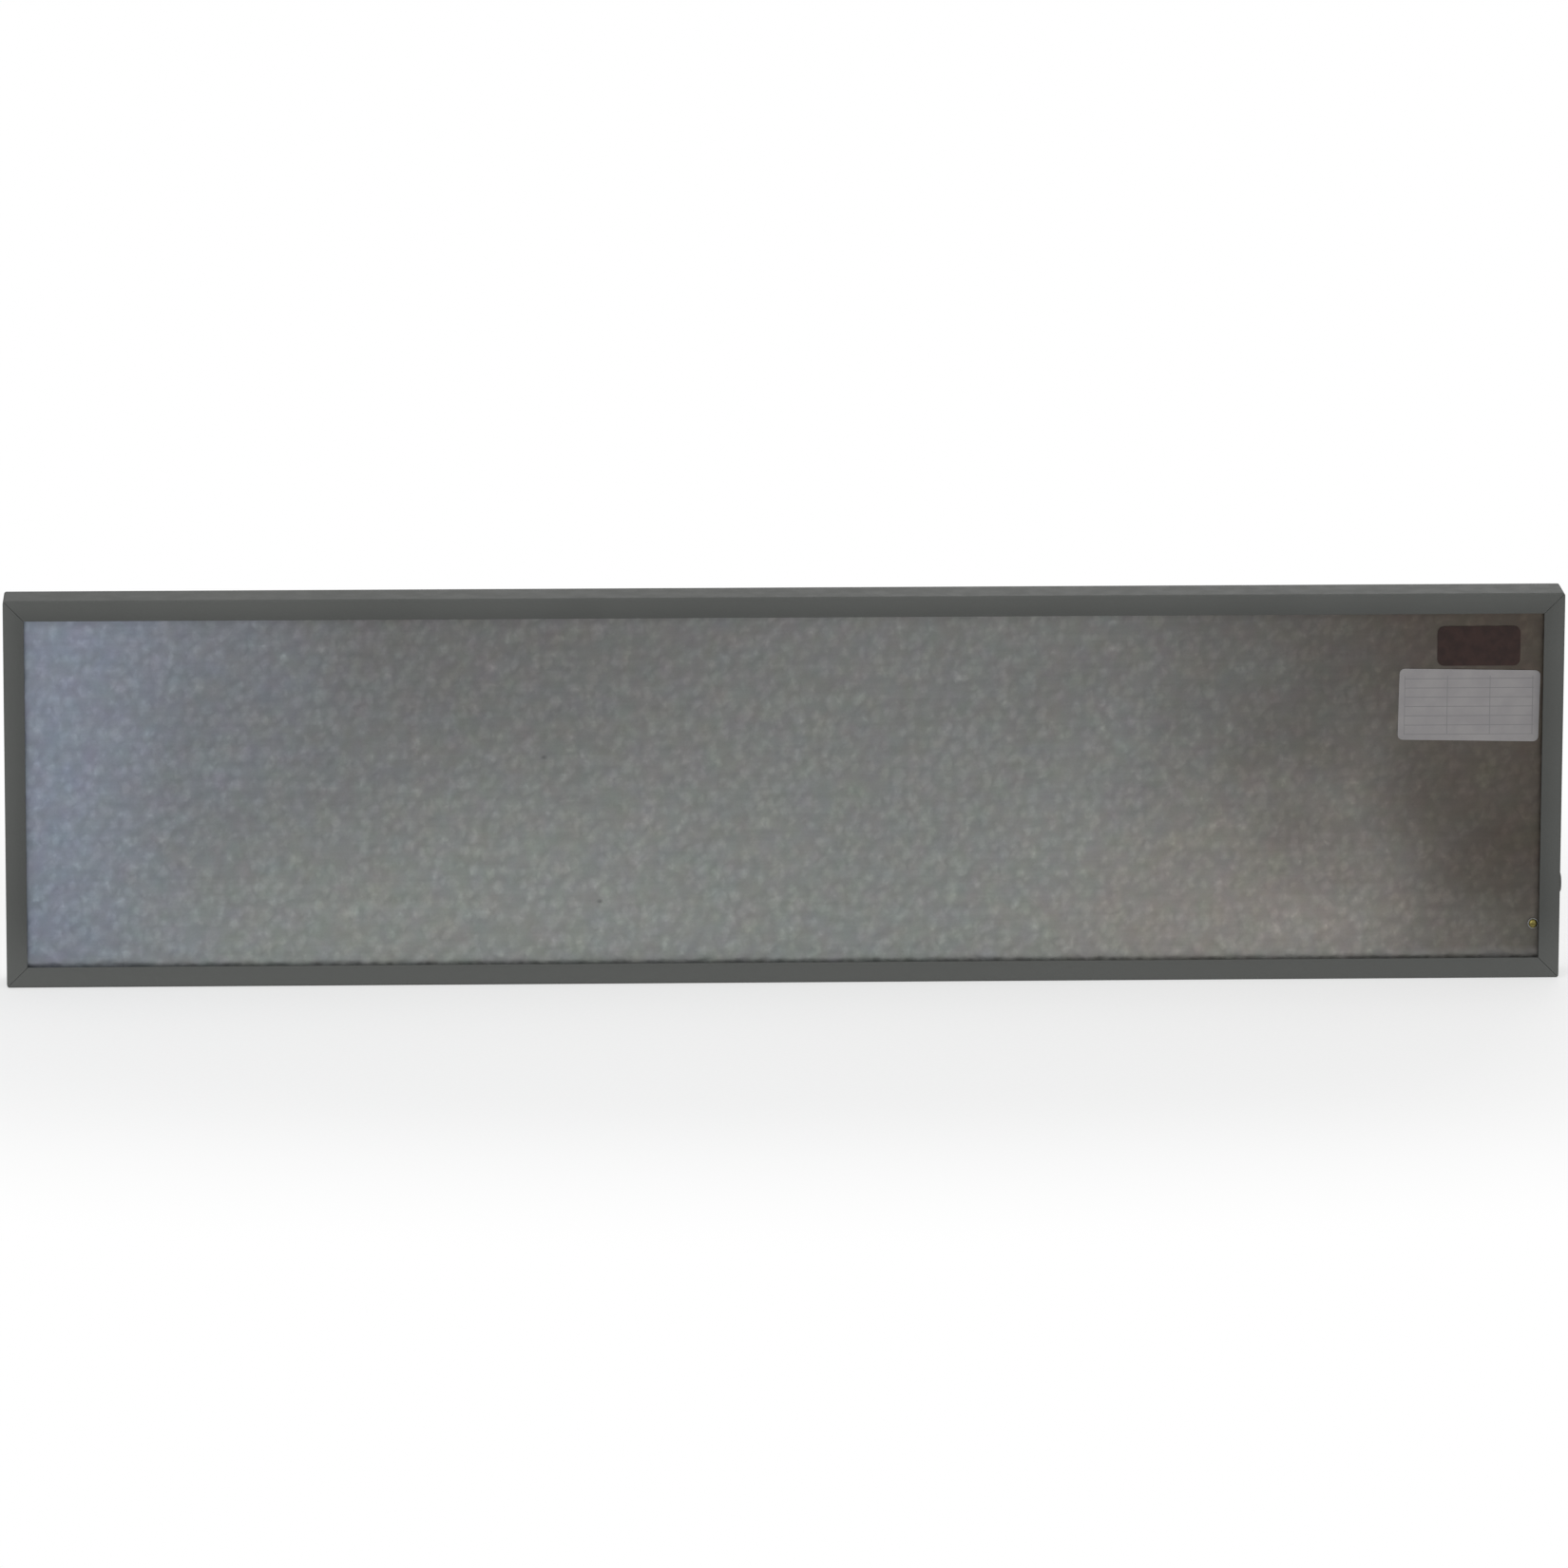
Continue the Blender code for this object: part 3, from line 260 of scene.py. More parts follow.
    def patch(self, x, z, middle, reach, most=1.0):
        """A soft oval patch: most in its middle, 0 beyond its reach, all in millimetres."""
        squares = []
        for place, centre, far in zip((x, z), middle, reach):
            off = self.maths("DIVIDE", self.maths("SUBTRACT", place, centre), far)
            squares.append(self.maths("MULTIPLY", off, off))
        return self.span(self.maths("SQRT", self.maths("ADD", *squares)), 1.0, 0.0, 0.0, most)

    def ramp(self, value, stops):
        """Colours by value; stops are (place, colour)."""
        made = self.node("ShaderNodeValToRGB")
        made.color_ramp.interpolation = "EASE"
        while len(made.color_ramp.elements) < len(stops):
            made.color_ramp.elements.new(0.5)
        for element, (place, colour) in zip(made.color_ramp.elements, stops):
            element.position = place
            element.color = (*colour, 1.0)
        self.join(value, made.inputs["Fac"])
        return made.outputs["Color"]

    def blend(self, amount, a, b, kind="MIX"):
        """From a to b by amount; each is a colour or a socket."""
        made = self.node("ShaderNodeMix", data_type="RGBA", blend_type=kind)
        sockets = (made.inputs["Factor"], made.inputs[6], made.inputs[7])
        for socket, value in zip(sockets, (amount, a, b)):
            if isinstance(value, (int, float)):
                socket.default_value = value
            elif isinstance(value, tuple):
                socket.default_value = (*value, 1.0)
            else:
                self.join(value, socket)
        return made.outputs[2]

    def overlay(self, amount, base, value, *greys):
        """Darkens or lightens base by a pattern; greys are (place, grey), and 0.5 is neutral."""
        stops = [(place, (grey, grey, grey)) for place, grey in greys]
        return self.blend(amount, base, self.ramp(value, stops), "OVERLAY")

    def colour(self, value):
        self.join(value, self.shader.inputs["Base Color"])

    def roughness(self, value, low, high):
        """Roughness from low to high as value goes over the middle of a noise."""
        self.join(self.span(value, 0.3, 0.7, low, high), self.shader.inputs["Roughness"])

    def shine(self, value):
        self.shader.inputs["Specular IOR Level"].default_value = value

    def bump(self, *layers):
        """Layers of (height, depth in millimetres), laid over each other."""
        normal = None
        for height, deep in layers:
            made = self.node("ShaderNodeBump")
            made.inputs["Distance"].default_value = deep * MM
            made.inputs["Strength"].default_value = 1.0
            self.join(height, made.inputs["Height"])
            if normal is not None:
                self.join(normal, made.inputs["Normal"])
            normal = made.outputs["Normal"]
        self.join(normal, self.shader.inputs["Normal"])


def srgb(red, green, blue):
    """A colour written as in a picture, 0 to 255, in the linear values that shaders use."""
    out = []
    for value in (red, green, blue):
        level = value / 255.0
        out.append(level / 12.92 if level <= 0.04045 else ((level + 0.055) / 1.055) ** 2.4)
    return tuple(out)


# Light, backdrop and floor

AMBIENT = 0.45
PLAIN_WHITE = 1.0


def larger(tree, a, b):
    made = tree.nodes.new("ShaderNodeMath")
    made.operation = "MAXIMUM"
    tree.links.new(a, made.inputs[0])
    tree.links.new(b, made.inputs[1])
    return made.outputs[0]


def seen_directly(tree):
    """1 for rays seen by the camera, straight, mirrored or through glass, 0 for those of light."""
    path = tree.nodes.new("ShaderNodeLightPath")
    either = larger(tree, path.outputs["Is Camera Ray"], path.outputs["Is Glossy Ray"])
    return larger(tree, either, path.outputs["Is Transmission Ray"])


def white_source(tree, kind, strength):
    made = tree.nodes.new(kind)
    made.inputs["Color"].default_value = WHITE
    made.inputs["Strength"].default_value = strength
    return made.outputs[0]


def add_world():
    world = bpy.data.worlds.new("studio")
    scene.world = world
    world.use_nodes = True
    tree = world.node_tree
    tree.nodes.clear()
    mix = tree.nodes.new("ShaderNodeMixShader")
    out = tree.nodes.new("ShaderNodeOutputWorld")
    tree.links.new(seen_directly(tree), mix.inputs["Fac"])
    tree.links.new(white_source(tree, "ShaderNodeBackground", AMBIENT), mix.inputs[1])
    tree.links.new(white_source(tree, "ShaderNodeBackground", PLAIN_WHITE), mix.inputs[2])
    tree.links.new(mix.outputs[0], out.inputs["Surface"])


# The floor takes the shadow out to FLOOR_NEAR metres from the heater's middle, less and less to
# FLOOR_FAR, and is white beyond. FLOOR_SQUEEZE makes that oval, longer along the heater, and
# FLOOR_WHITE is how much white is mixed in even beside the heater.
FLOOR_RADIUS = 60.0
FLOOR_SEGMENTS = 96
FLOOR_DROP = 0.0002
FLOOR_NEAR = 0.65
FLOOR_FAR = 1.5
FLOOR_SQUEEZE = 1.8
FLOOR_WHITE = 0.6


def add_floor():
    """A pale floor that takes the heater's shadow nearby and goes over into the white backdrop."""
    mesh = bpy.data.meshes.new("floor")
    made = bmesh.new()
    bmesh.ops.create_circle(made, cap_ends=True, segments=FLOOR_SEGMENTS, radius=FLOOR_RADIUS)
    made.to_mesh(mesh)
    made.free()
    floor = bpy.data.objects.new("floor", mesh)
    scene.collection.objects.link(floor)
    floor.location.z = -FLOOR_DROP
    look = Look("floor_pale", roughness=0.9)
    grain = look.noise(3.0, detail=3.0)
    look.colour(look.ramp(grain, [(0.3, (0.88, 0.88, 0.875)), (0.7, (0.91, 0.91, 0.905))]))
    squeezed = look.node("ShaderNodeMapping")
    squeezed.inputs["Scale"].default_value = (1.0, FLOOR_SQUEEZE, 1.0)
    look.join(look.coords, squeezed.inputs["Vector"])
    length = look.node("ShaderNodeVectorMath", operation="LENGTH")
    look.join(squeezed.outputs["Vector"], length.inputs[0])
    far = look.span(length.outputs["Value"], FLOOR_NEAR, FLOOR_FAR, FLOOR_WHITE, 1.0)
    mix = look.node("ShaderNodeMixShader")
    look.join(look.maths("MULTIPLY", far, seen_directly(look.tree)), mix.inputs["Fac"])
    look.join(look.shader.outputs[0], mix.inputs[1])
    look.join(white_source(look.tree, "ShaderNodeEmission", PLAIN_WHITE), mix.inputs[2])
    look.join(mix.outputs[0], look.tree.nodes["Material Output"].inputs["Surface"])
    floor.data.materials.append(look.material)


# Each softbox: name, place, the point it aims at, width, height, watts and colour.
SOFTBOXES = (
    ("key", (-1.9, -2.6, 2.2), (-0.1, 0.0, 0.15), 2.0, 1.5, 43.0, (0.93, 0.97, 1.0)),
    ("low", (-1.1, -3.2, 0.75), (0.0, 0.0, 0.15), 1.2, 0.5, 5.0, (0.95, 0.98, 1.0)),
    ("fill", (2.4, -2.4, 1.5), (0.1, 0.0, 0.15), 1.6, 1.2, 12.0, (1.0, 0.95, 0.9)),
    ("top", (0.2, 0.5, 3.0), (0.0, 0.0, 0.2), 2.4, 1.4, 14.0, (1.0, 1.0, 1.0)),
    ("front", (0.8, 3.0, 1.8), (0.0, 0.0, 0.15), 2.0, 1.4, 30.0, (1.0, 1.0, 1.0)),
)


def add_softbox(name, place, aim, wide, high, watts, colour):
    data = bpy.data.lights.new(name, "AREA")
    data.shape = "RECTANGLE"
    data.size = wide
    data.size_y = high
    data.energy = watts
    data.color = colour
    lamp = bpy.data.objects.new(name, data)
    lamp.visible_camera = False
    scene.collection.objects.link(lamp)
    lamp.location = place
    lamp.rotation_mode = "QUATERNION"
    lamp.rotation_quaternion = (Vector(aim) - Vector(place)).to_track_quat("-Z", "Y")


add_world()
add_floor()
for softbox in SOFTBOXES:
    add_softbox(*softbox)


# Back sheet: the embossing is real relief on a fine grid. Lengths are in millimetres.

GRID = 2.0
RELIEF = 0.32
RELIEF_SINK = 0.14
SHEET_SEED = 11
SHEET_UNDER_LIP = 12.0
SHEET_MARGIN = 8.0

# The grains' lean and stretch, the waves they are made of, per millimetre, and how soon their
# crowns and valleys level off.
GRAIN_LEAN = math.radians(62.0)
GRAIN_STRETCH = 1.2
WAVE_FINE = 0.088
WAVE_COARSE = 0.038
GRAIN_LEVELLING = 0.45


def embossed_heights(across, up):
    """Stucco relief from -1 to 1: soft grains about 8 mm wide, drawn out a little to one side."""
    rng = np.random.default_rng(SHEET_SEED)
    white = rng.standard_normal((up, across))
    fx = np.fft.fftfreq(across, GRID)[None, :]
    fz = np.fft.fftfreq(up, GRID)[:, None]
    along = fx * math.cos(GRAIN_LEAN) + fz * math.sin(GRAIN_LEAN)
    side = -fx * math.sin(GRAIN_LEAN) + fz * math.cos(GRAIN_LEAN)
    wave = np.hypot(along * GRAIN_STRETCH, side)
    shape = np.exp(-((wave / WAVE_FINE) ** 2)) * (1.0 - np.exp(-((wave / WAVE_COARSE) ** 2)))
    relief = np.fft.ifft2(np.fft.fft2(white) * shape).real
    relief /= relief.std()
    return np.tanh(GRAIN_LEVELLING * relief)


def sheet_relief(xs, zs):
    """How far the embossing stands out from the flat border, in metres, by row and column."""
    inset_x = np.minimum(xs - xs[0], xs[-1] - xs)[None, :]
    inset_z = np.minimum(zs - zs[0], zs[-1] - zs)[:, None]
    inset = np.minimum(inset_x, inset_z) / MM
    flat = np.clip((inset - SHEET_UNDER_LIP) / SHEET_MARGIN, 0.0, 1.0)
    return (embossed_heights(len(xs), len(zs)) * RELIEF - RELIEF_SINK) * flat * MM


def grid_border(across, up):
    """The numbers of the border's vertices, once round the grid."""
    ring = [j * across for j in range(up)]
    ring += [(up - 1) * across + i for i in range(1, across)]
    ring += [j * across + across - 1 for j in range(up - 2, -1, -1)]
    ring += list(range(across - 2, 0, -1))
    return ring


def sheet_mesh():
    """The sheet as one closed solid: the embossed rear face, four edges and a flat inner face."""
    low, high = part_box("back_sheet")
    across = int(round((high.x - low.x) / (GRID * MM))) + 1
    up = int(round((high.z - low.z) / (GRID * MM))) + 1
    xs = np.linspace(low.x, high.x, across)
    zs = np.linspace(low.z, high.z, up)
    relief = sheet_relief(xs, zs)
    rear = [(xs[i], low.y - relief[j, i], zs[j]) for j in range(up) for i in range(across)]
    ring = grid_border(across, up)
    inner = [(rear[i][0], high.y, rear[i][2]) for i in ring]
    faces = [
        (j * across + i, j * across + i + 1, (j + 1) * across + i + 1, (j + 1) * across + i)
        for j in range(up - 1)
        for i in range(across - 1)
    ]
    embossed = len(faces)
    for k, vertex in enumerate(ring):
        after = (k + 1) % len(ring)
        faces.append((vertex, ring[after], len(rear) + after, len(rear) + k))
    faces.append(tuple(len(rear) + k for k in reversed(range(len(ring)))))
    mesh = bpy.data.meshes.new("stucco_sheet")
    mesh.from_pydata(rear + inner, [], faces)
    made = bmesh.new()
    made.from_mesh(mesh)
    bmesh.ops.recalc_face_normals(made, faces=made.faces)
    made.to_mesh(mesh)
    made.free()
    heights = np.append(relief.ravel() / (RELIEF * MM), np.zeros(len(ring)))
    mesh.attributes.new("relief", "FLOAT", "POINT").data.foreach_set("value", heights)
    smooth = [k < embossed for k in range(len(mesh.polygons))]
    mesh.polygons.foreach_set("use_smooth", smooth)
    return mesh


def add_back_sheet():
    sheet = bpy.data.objects.new("stucco_sheet", sheet_mesh())
    scene.collection.objects.link(sheet)
    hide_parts("back_sheet")
    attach(sheet, "root")
    return sheet


sheet = add_back_sheet()


# Look of the back sheet. Places are in millimetres, x to the right and z up in the photograph.
# A change of tone is (where it starts, where it is full), and a soft patch is (middle, reach,
# most, colour).

# Painted reflections: the sheet is painted lighter towards the bottom, cooler at the left end, dark
# brown at the right end, and in pale, cool, warm and brown patches.
REFLECTION_BRIGHTENING = (300.0, 10.0)
REFLECTION_COOLING = (-330.0, -640.0)
REFLECTION_DARKENING = (230.0, 740.0)
REFLECTION_DARKENING_LEAN = 0.45
# Painted light: a lighter band on the sheet just above the bottom lip, where the lip shades it.
RIM_ABOVE_LIP = (26.0, 15.0)
RIM_LIGHT_AMOUNT = 0.3
SHEET_TOP = srgb(104, 104, 103)
SHEET_BOTTOM_REFLECTION = srgb(136, 139, 136)
SHEET_COOL_REFLECTION = srgb(126, 133, 146)
SHEET_BROWN_REFLECTION = srgb(74, 67, 60)
SHEET_RIM_LIGHT = srgb(150, 152, 150)
PALE_REFLECTION_PATCH = ((90.0, 190.0), (360.0, 400.0), 0.4, srgb(128, 130, 128))
COOL_REFLECTION_PATCH = ((-400.0, 190.0), (230.0, 150.0), 0.35, srgb(108, 112, 118))
WARM_REFLECTION_PATCH = ((370.0, 40.0), (260.0, 170.0), 0.6, srgb(148, 142, 136))
BROWN_REFLECTION_PATCH = ((490.0, 190.0), (190.0, 150.0), 0.4, srgb(78, 71, 65))
TONE_DRIFT = 45.0

SCUFFS = ((-186.0, 178.0), (-143.0, 64.0))
SCUFF_REACH = (3.5, 2.5)
SCUFF_AMOUNT = 0.5
SCUFF_TONE = srgb(62, 62, 64)

# The grain: a pebble's size, the shift in pebbles that tells the side painted lit, the height at
# which a crest counts as full, and how strongly each pattern, painted light and shade among them,
# is laid over the tone.
PEBBLE = 9.2
LIT_FROM = (0.14, 0.0, -0.14)
CREST_LIMIT = 1.3
CREST_SHADE_AMOUNT = 0.25
PAINTED_RELIEF_AMOUNT = 0.28
SPECK_AMOUNT = 0.08
TINT_AMOUNT = 0.07
ROW_AMOUNT = 0.12


def sheet_tone(look):
    """Painted reflections: cool at one end, dark brown at the other, brighter towards the bottom,
    with patches; painted light above the bottom lip; and scuffs.
    """
    drift = look.span(look.noise(170.0, detail=2.0), 0.2, 0.8, -TONE_DRIFT, TONE_DRIFT)
    x = look.maths("ADD", look.along("X"), drift)
    z = look.maths("ADD", look.along("Z"), look.maths("MULTIPLY", drift, 0.5))

    def patched(base, middle, reach, most, colour):
        return look.blend(look.patch(x, z, middle, reach, most), base, colour)

    # Painted reflections, from here to the brown patch.
    base = look.blend(look.span(z, *REFLECTION_BRIGHTENING), SHEET_TOP, SHEET_BOTTOM_REFLECTION)
    base = patched(base, *PALE_REFLECTION_PATCH)
    base = patched(base, *COOL_REFLECTION_PATCH)
    base = look.blend(look.span(x, *REFLECTION_COOLING), base, SHEET_COOL_REFLECTION)
    leaning = look.maths("ADD", x, look.maths("MULTIPLY", z, REFLECTION_DARKENING_LEAN))
    base = look.blend(look.span(leaning, *REFLECTION_DARKENING), base, SHEET_BROWN_REFLECTION)
    base = patched(base, *WARM_REFLECTION_PATCH)
    base = patched(base, *BROWN_REFLECTION_PATCH)
    # Painted light above the bottom lip, against the lip's shade.
    painted_rim_light = look.span(look.along("Z"), *RIM_ABOVE_LIP, 0.0, RIM_LIGHT_AMOUNT)
    base = look.blend(painted_rim_light, base, SHEET_RIM_LIGHT)
    for place in SCUFFS:
        scuff = look.patch(look.along("X"), look.along("Z"), place, SCUFF_REACH, SCUFF_AMOUNT)
        base = look.blend(scuff, base, SCUFF_TONE)
    return base


def sheet_grain(look, base, crowns):
    """Painted light and shade on the embossing's crests, valleys and lit sides, finer specks, faint
    hues, painted glints and rolling rows.
    """
    heights = look.node("ShaderNodeAttribute", attribute_name="relief").outputs["Fac"]
    mottle = look.span(look.noise(7.5, detail=2.0), 0.25, 0.75, -0.6, 0.6)
    crest_light_and_shade = look.span(look.maths("ADD", heights, mottle), -CREST_LIMIT, CREST_LIMIT)
    # Painted shade and light: valleys painted darker, crests lighter.
    base = look.overlay(CREST_SHADE_AMOUNT, base, crest_light_and_shade, (0.0, 0.42), (1.0, 0.6))
    # Painted light and shade: each pebble's side towards LIT_FROM painted lighter, the other
    # darker.
    lit_side = look.maths("SUBTRACT", crowns, look.pebbles(PEBBLE, shift=LIT_FROM))
    painted_relief_light = look.maths("ADD", look.maths("MULTIPLY", lit_side, 0.9),
                        look.maths("MULTIPLY", crowns, 0.5))
    painted_relief_shading = look.ramp(look.span(painted_relief_light, -0.35, 0.85), [
        (0.0, (0.36, 0.36, 0.36)), (0.5, (0.5, 0.5, 0.5)), (1.0, (0.68, 0.68, 0.67)),
    ])
    base = look.blend(PAINTED_RELIEF_AMOUNT, base, painted_relief_shading, "OVERLAY")
    specks = look.noise(1.6, detail=3.0, rough=0.65)
    base = look.overlay(SPECK_AMOUNT, base, specks, (0.3, 0.38), (0.7, 0.64))
    base = look.blend(TINT_AMOUNT, base, look.tints(18.0), "OVERLAY")
    # Painted glints on the crests.
    spots = look.span(look.noise(6.5, detail=1.0), 0.45, 0.8, 0.0, 0.3)
    glints = look.maths("MULTIPLY", look.span(crest_light_and_shade, 0.4, 1.0), spots)
    base = look.blend(glints, base, (1.0, 1.0, 0.97), "OVERLAY")
    rows = look.noise(9.0, detail=2.0, stretch=(9.0, 1.0, 0.5))
    return look.overlay(ROW_AMOUNT, base, rows, (0.3, 0.38), (0.7, 0.62))


def stucco_aluminium():
    """Bare rolled sheet with soft pebbled grain."""
    look = Look("stucco_aluminium", metallic=0.8)
    crowns = look.pebbles(PEBBLE)
    look.colour(sheet_grain(look, sheet_tone(look), crowns))
    look.roughness(look.noise(5.0, detail=3.0), 0.3, 0.42)
    inside = look.span(look.inset(*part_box("back_sheet")),
                       SHEET_UNDER_LIP + 2.0, SHEET_UNDER_LIP + 9.0)
    look.bump((look.maths("MULTIPLY", crowns, inside), 0.16),
              (look.noise(0.9, detail=2.0), 0.015))
    return look.material


# Paint. Inside the frame, from the rear lips to the front plate's groove, the rails are bare metal
# of a light colour, painted light that lightens the shade in the groove and its reflection in the
# sheet.

OUTLINE = (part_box("left_rail")[0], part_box("right_rail")[1])
REAR_FACE = cad_low.y / MM
PLATE_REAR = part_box("front_plate")[0].y / MM
BARE_LIT_METAL = srgb(168, 170, 170)


def bare_and_lit_inside(look, base):
    behind_lip = look.span(look.along("Y"), REAR_FACE + 1.9, REAR_FACE + 2.3)
    behind_plate = look.span(look.along("Y"), PLATE_REAR - 0.7, PLATE_REAR - 1.2)
    deep = look.maths("MULTIPLY", behind_lip, behind_plate)
    inner = look.span(look.inset(*OUTLINE), 1.8, 2.2)
    # Painted light: the light bare metal brightens the shaded faces inside the rails.
    return look.blend(look.maths("MULTIPLY", deep, inner), base, BARE_LIT_METAL)


def powder_coat(name, dark, light, orange_peel, dust_and_floor_light, shine, rim_shade, bare_and_lit):
    """Sprayed and baked paint: slight cloudiness, fine specks and a shallow orange peel."""
    look = Look(name)
    base = look.ramp(look.noise(120.0, detail=2.0), [(0.2, dark), (0.8, light)])
    base = look.overlay(0.4, base, look.noise(0.5, detail=2.0), (0.35, 0.42), (0.65, 0.58))
    # Painted shade: by rim_shade, lighter at the outer rim and darker towards the lips' inner
    # edges.
    from_rim = look.span(look.inset(*OUTLINE), 0.0, 18.0, steps="LINEAR")
    base = look.overlay(rim_shade, base, from_rim, (0.1, 0.54), (0.9, 0.455))
    chafed = look.span(look.noise(6.0, detail=4.0), 0.45, 0.65, 0.15, 0.7)
    worn = look.maths("MULTIPLY", look.near_edge(), chafed)
    base = look.blend(worn, base, tuple(min(1.0, c * 1.35) for c in light))
    dust = look.span(look.noise(12.0, detail=6.0, rough=0.65), 0.45, 0.8, 0.0, dust_and_floor_light)
    # Painted light from the floor: the paint is lighter over its lowest 60 mm, on top of the dust.
    floor_painted_light = look.span(look.along("Z"), 60.0, 0.0, 0.0, dust_and_floor_light * 11.0)
    base = look.blend(look.maths("ADD", dust, floor_painted_light), base, tuple(c * 1.3 for c in light))
    if bare_and_lit:
        base = bare_and_lit_inside(look, base)
    look.colour(base)
    look.shine(shine)
    look.roughness(look.noise(12.0, detail=4.0), 0.68, 0.78)
    look.bump((look.noise(1.5, detail=1.0), orange_peel), (look.noise(0.35, detail=1.0), 0.008))
    return look.material


# Label: a ruled form without words. Margins to its outermost rules and pitches in millimetres.

FORM_SIDE = 5.0
FORM_END = 6.0
FORM_OVERHANG = 0.2
ROW_PITCH = 7.3
COLUMN_PITCH = 33.0
RULE_HALF = 0.28


def label_film():
    look = Look("label_film")
    film = look.ramp(look.noise(14.0, detail=3.0), [
        (0.3, srgb(132, 129, 130)), (0.7, srgb(139, 136, 136)),
    ])
    low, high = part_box("rating_label")
    left, right, bottom, top = (v / MM for v in (low.x, high.x, low.z, high.z))
    x = look.along("X")
    z = look.along("Z")
    rules = look.lines(look.maths("SUBTRACT", z, bottom + FORM_END), ROW_PITCH, RULE_HALF)
    posts = look.lines(look.maths("SUBTRACT", x, left + FORM_SIDE), COLUMN_PITCH, RULE_HALF)
    side = FORM_SIDE - FORM_OVERHANG
    end = FORM_END - FORM_OVERHANG
    form = look.maths("MAXIMUM", rules, posts)
    form = look.maths("MULTIPLY", form, look.between(x, left + side, right - side))
    form = look.maths("MULTIPLY", form, look.between(z, bottom + end, top - end))
    look.colour(look.blend(form, film, srgb(114, 112, 114)))
    look.roughness(look.noise(6.0), 0.38, 0.5)
    look.bump((look.noise(2.2, detail=2.0), 0.02), (look.noise(7.0, detail=1.0), 0.06))
    return look.material


# Inner and small pieces

def plated(name, colours, roughness=(0.25, 0.42)):
    """Plated or machined metal with cloudy passivation and fine scratches."""
    look = Look(name, metallic=0.9)
    look.colour(look.ramp(look.noise(5.0, detail=4.0, bend=0.6), colours))
    look.roughness(look.noise(2.0, detail=4.0), *roughness)
    look.bump((look.noise(0.4, detail=2.0, stretch=(6.0, 1.0, 1.0)), 0.01))
    return look.material


def crumpled_foil():
    """Soft bright foil with creases between flat facets."""
    look = Look("foil", metallic=1.0)
    look.colour(look.ramp(look.noise(20.0, detail=3.0), [
        (0.3, (0.70, 0.71, 0.72)), (0.7, (0.80, 0.81, 0.82)),
    ]))
    look.roughness(look.noise(9.0, detail=3.0), 0.14, 0.3)
    look.bump((look.span(look.creases(14.0), 0.0, 0.25), 0.25), (look.noise(4.0, detail=3.0), 0.05))
    return look.material


def woven_glass():
    """Plain-woven glass cloth: threads over and under at a 1.2 mm pitch."""
    look = Look("glass_cloth")
    warp = look.stripes(1.2, "X", bend=0.6)
    weft = look.stripes(1.2, "Z", bend=0.6)
    weave = look.maths("MULTIPLY", warp, weft)
    threads = look.ramp(weave, [(0.0, (0.50, 0.47, 0.38)), (0.6, (0.76, 0.74, 0.66))])
    stained = look.span(look.noise(40.0, detail=3.0), 0.3, 0.7, 0.0, 0.5)
    look.colour(look.blend(stained, threads, (0.66, 0.60, 0.46)))
    look.roughness(look.noise(2.0), 0.7, 0.85)
    look.bump((weave, 0.15), (look.noise(0.3, detail=2.0), 0.03))
    return look.material


def pressed_wool():
    """Mineral wool board: long fibres lying every way, with darker flecks of binder."""
    look = Look("mineral_wool")
    level = look.noise(1.5, detail=5.0, rough=0.7, stretch=(7.0, 1.0, 1.0), turn=(0, 25, 0),
                       bend=1.2)
    upright = look.noise(1.5, detail=5.0, rough=0.7, stretch=(1.0, 1.0, 7.0), turn=(0, -20, 0),
                         bend=1.2)
    mat = look.maths("MAXIMUM", level, upright)
    wool = look.ramp(mat, [
        (0.35, (0.36, 0.28, 0.12)), (0.5, (0.55, 0.45, 0.24)), (0.7, (0.70, 0.62, 0.40)),
    ])
    flecks = look.span(look.noise(4.0, detail=2.0), 0.64, 0.7, 0.0, 0.6)
    look.colour(look.blend(flecks, wool, (0.22, 0.15, 0.07)))
    look.roughness(look.noise(3.0), 0.85, 0.97)
    look.bump((mat, 0.6))
    return look.material


def striped_lead():
    """Green insulation with a yellow stripe winding along it."""
    look = Look("green_lead")
    stripe = look.span(look.stripes(11.0, "DIAGONAL"), 0.5, 0.6)
    green = look.ramp(look.noise(4.0, detail=3.0), [
        (0.3, (0.05, 0.26, 0.05)), (0.7, (0.08, 0.33, 0.07)),
    ])
    look.colour(look.blend(stripe, green, (0.75, 0.62, 0.03)))
    look.roughness(look.noise(2.0), 0.4, 0.52)
    look.bump((look.noise(0.4, detail=2.0), 0.01))
    return look.material


def moulded(name, dark, light, roughness=(0.35, 0.5), shine=0.5):
    """Plastic, silicone or printed film with faint clouds and a fine grain."""
    look = Look(name)
    look.shine(shine)
    look.colour(look.ramp(look.noise(8.0, detail=3.0), [(0.3, dark), (0.7, light)]))
    look.roughness(look.noise(3.0, detail=3.0), *roughness)
    look.bump((look.noise(0.25, detail=1.0), 0.008))
    return look.material


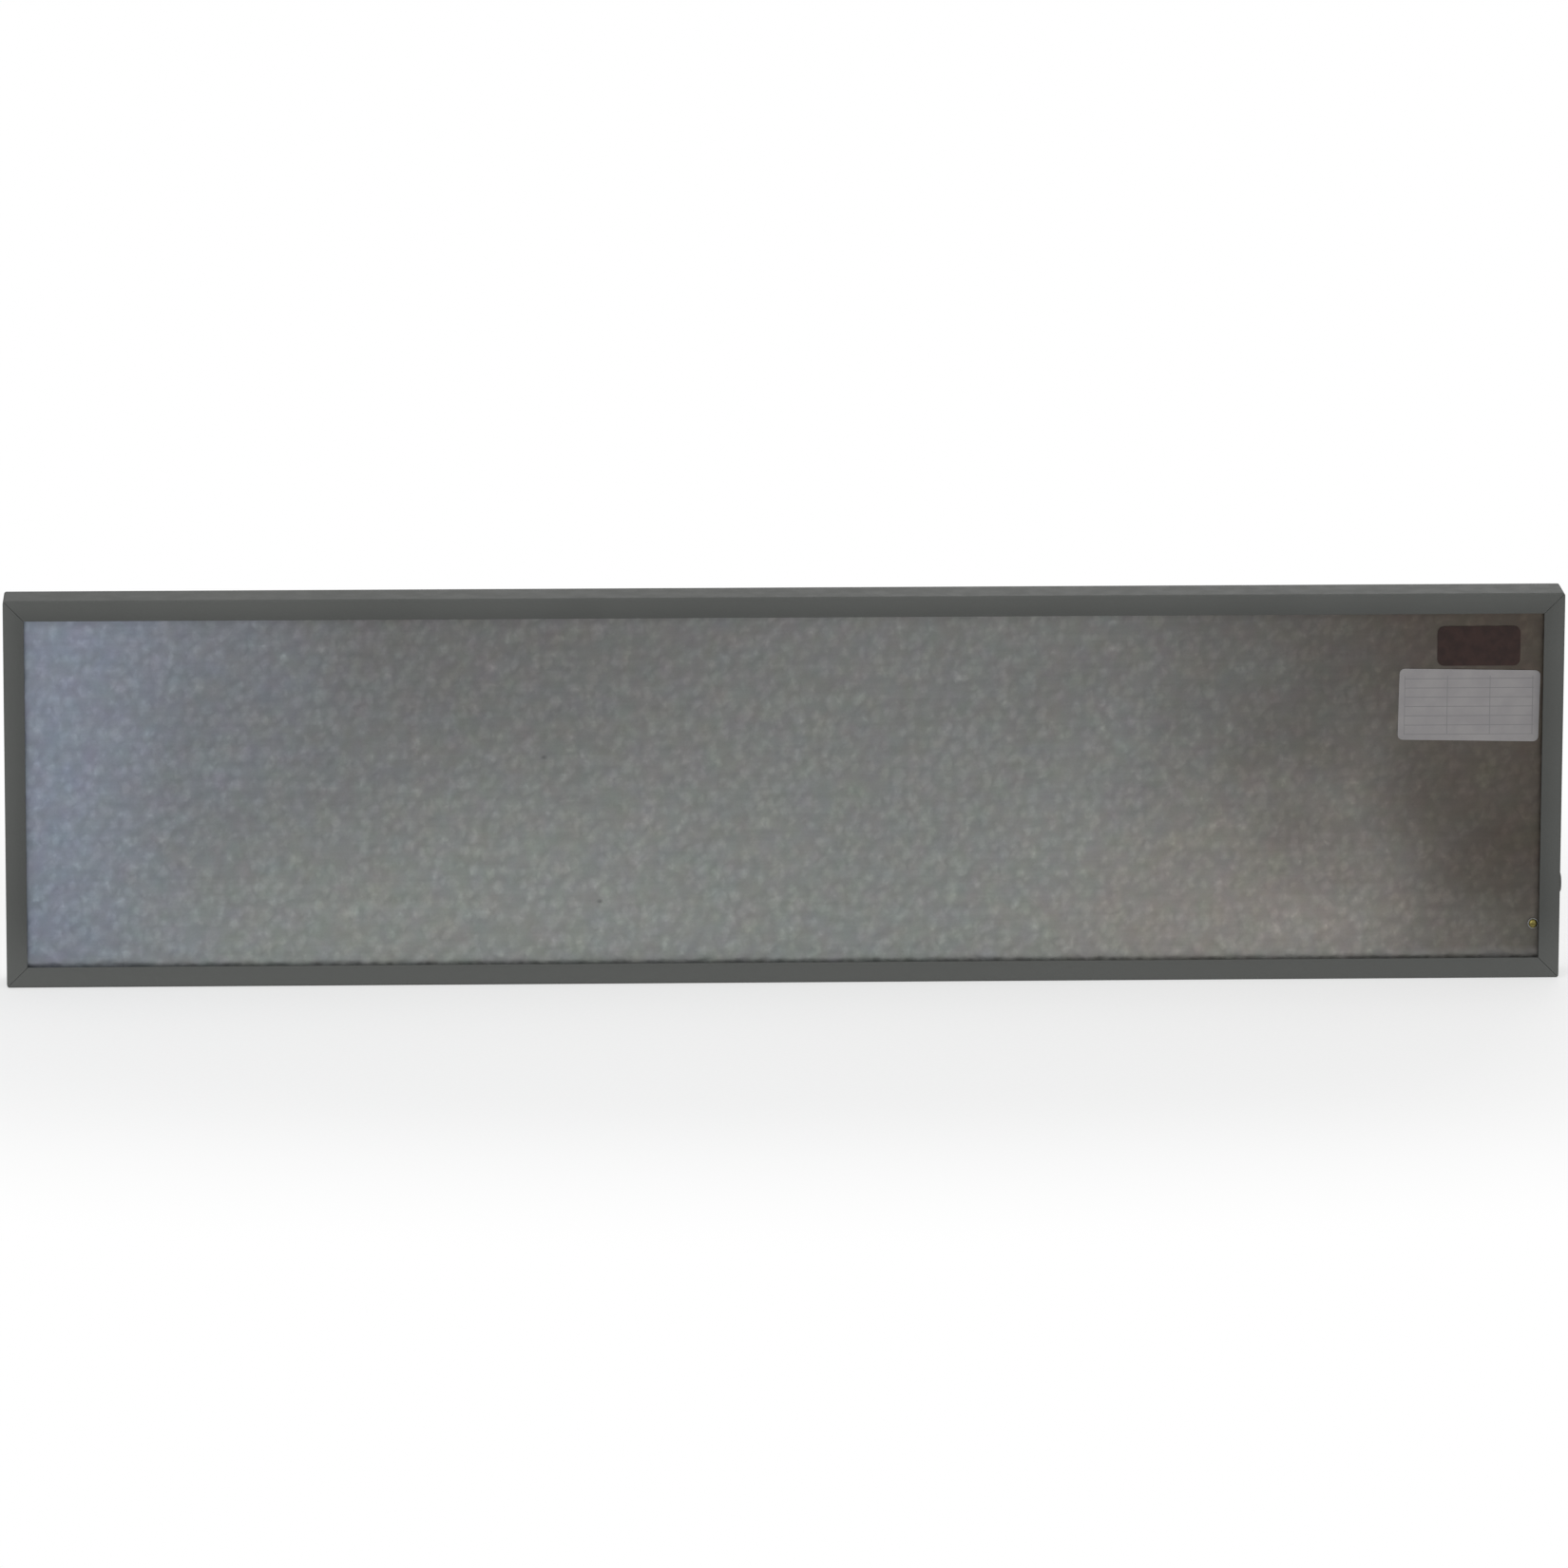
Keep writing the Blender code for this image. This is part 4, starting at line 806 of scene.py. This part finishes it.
looks = {
    "frame_paint": powder_coat(
        "frame_paint", srgb(84, 85, 83), srgb(89, 90, 88),
        orange_peel=0.03, dust_and_floor_light=0.08, shine=0.08, rim_shade=1.0, bare_and_lit=True),
    "front_paint": powder_coat(
        "front_paint", srgb(233, 233, 230), srgb(236, 236, 233),
        orange_peel=0.02, dust_and_floor_light=0.0, shine=0.35, rim_shade=0.0, bare_and_lit=False),
    "stucco_aluminium": stucco_aluminium(),
    "label_film": label_film(),
    "sticker_film": moulded(
        "sticker_film", srgb(40, 28, 26), srgb(50, 35, 32), (0.5, 0.6), shine=0.2),
    "foil": crumpled_foil(),
    "key_casting": plated(
        "key_casting", [(0.3, (0.42, 0.43, 0.44)), (0.7, (0.55, 0.56, 0.57))], (0.4, 0.6)),
    "zinc_steel": plated("zinc_steel", [(0.3, (0.28, 0.29, 0.31)), (0.7, (0.38, 0.39, 0.4))]),
    "yellow_zinc": plated("yellow_zinc", [
        (0.3, (0.15, 0.12, 0.03)), (0.55, (0.19, 0.16, 0.05)), (0.75, (0.14, 0.14, 0.07)),
    ]),
    "brass": plated("brass", [(0.3, (0.62, 0.45, 0.16)), (0.7, (0.76, 0.58, 0.26))]),
    "seal_silicone": moulded(
        "seal_silicone", (0.03, 0.03, 0.031), (0.05, 0.05, 0.051), (0.5, 0.65)),
    "cable_silicone": moulded("cable_silicone", (0.36, 0.04, 0.03), (0.45, 0.06, 0.04)),
    "glass_cloth": woven_glass(),
    "mineral_wool": pressed_wool(),
    "pale_plastic": moulded("pale_plastic", (0.72, 0.71, 0.66), (0.78, 0.77, 0.72)),
    "black_plastic": moulded("black_plastic", (0.018, 0.018, 0.019), (0.03, 0.03, 0.031)),
    "brown_lead": moulded("brown_lead", (0.16, 0.07, 0.03), (0.22, 0.1, 0.05)),
    "blue_lead": moulded("blue_lead", (0.03, 0.1, 0.38), (0.05, 0.14, 0.46)),
    "green_lead": striped_lead(),
}

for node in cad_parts.values():
    for slot in node.material_slots:
        slot.material = looks[slot.material.name.split(".")[0]]

sheet.data.materials.append(looks["stucco_aluminium"])
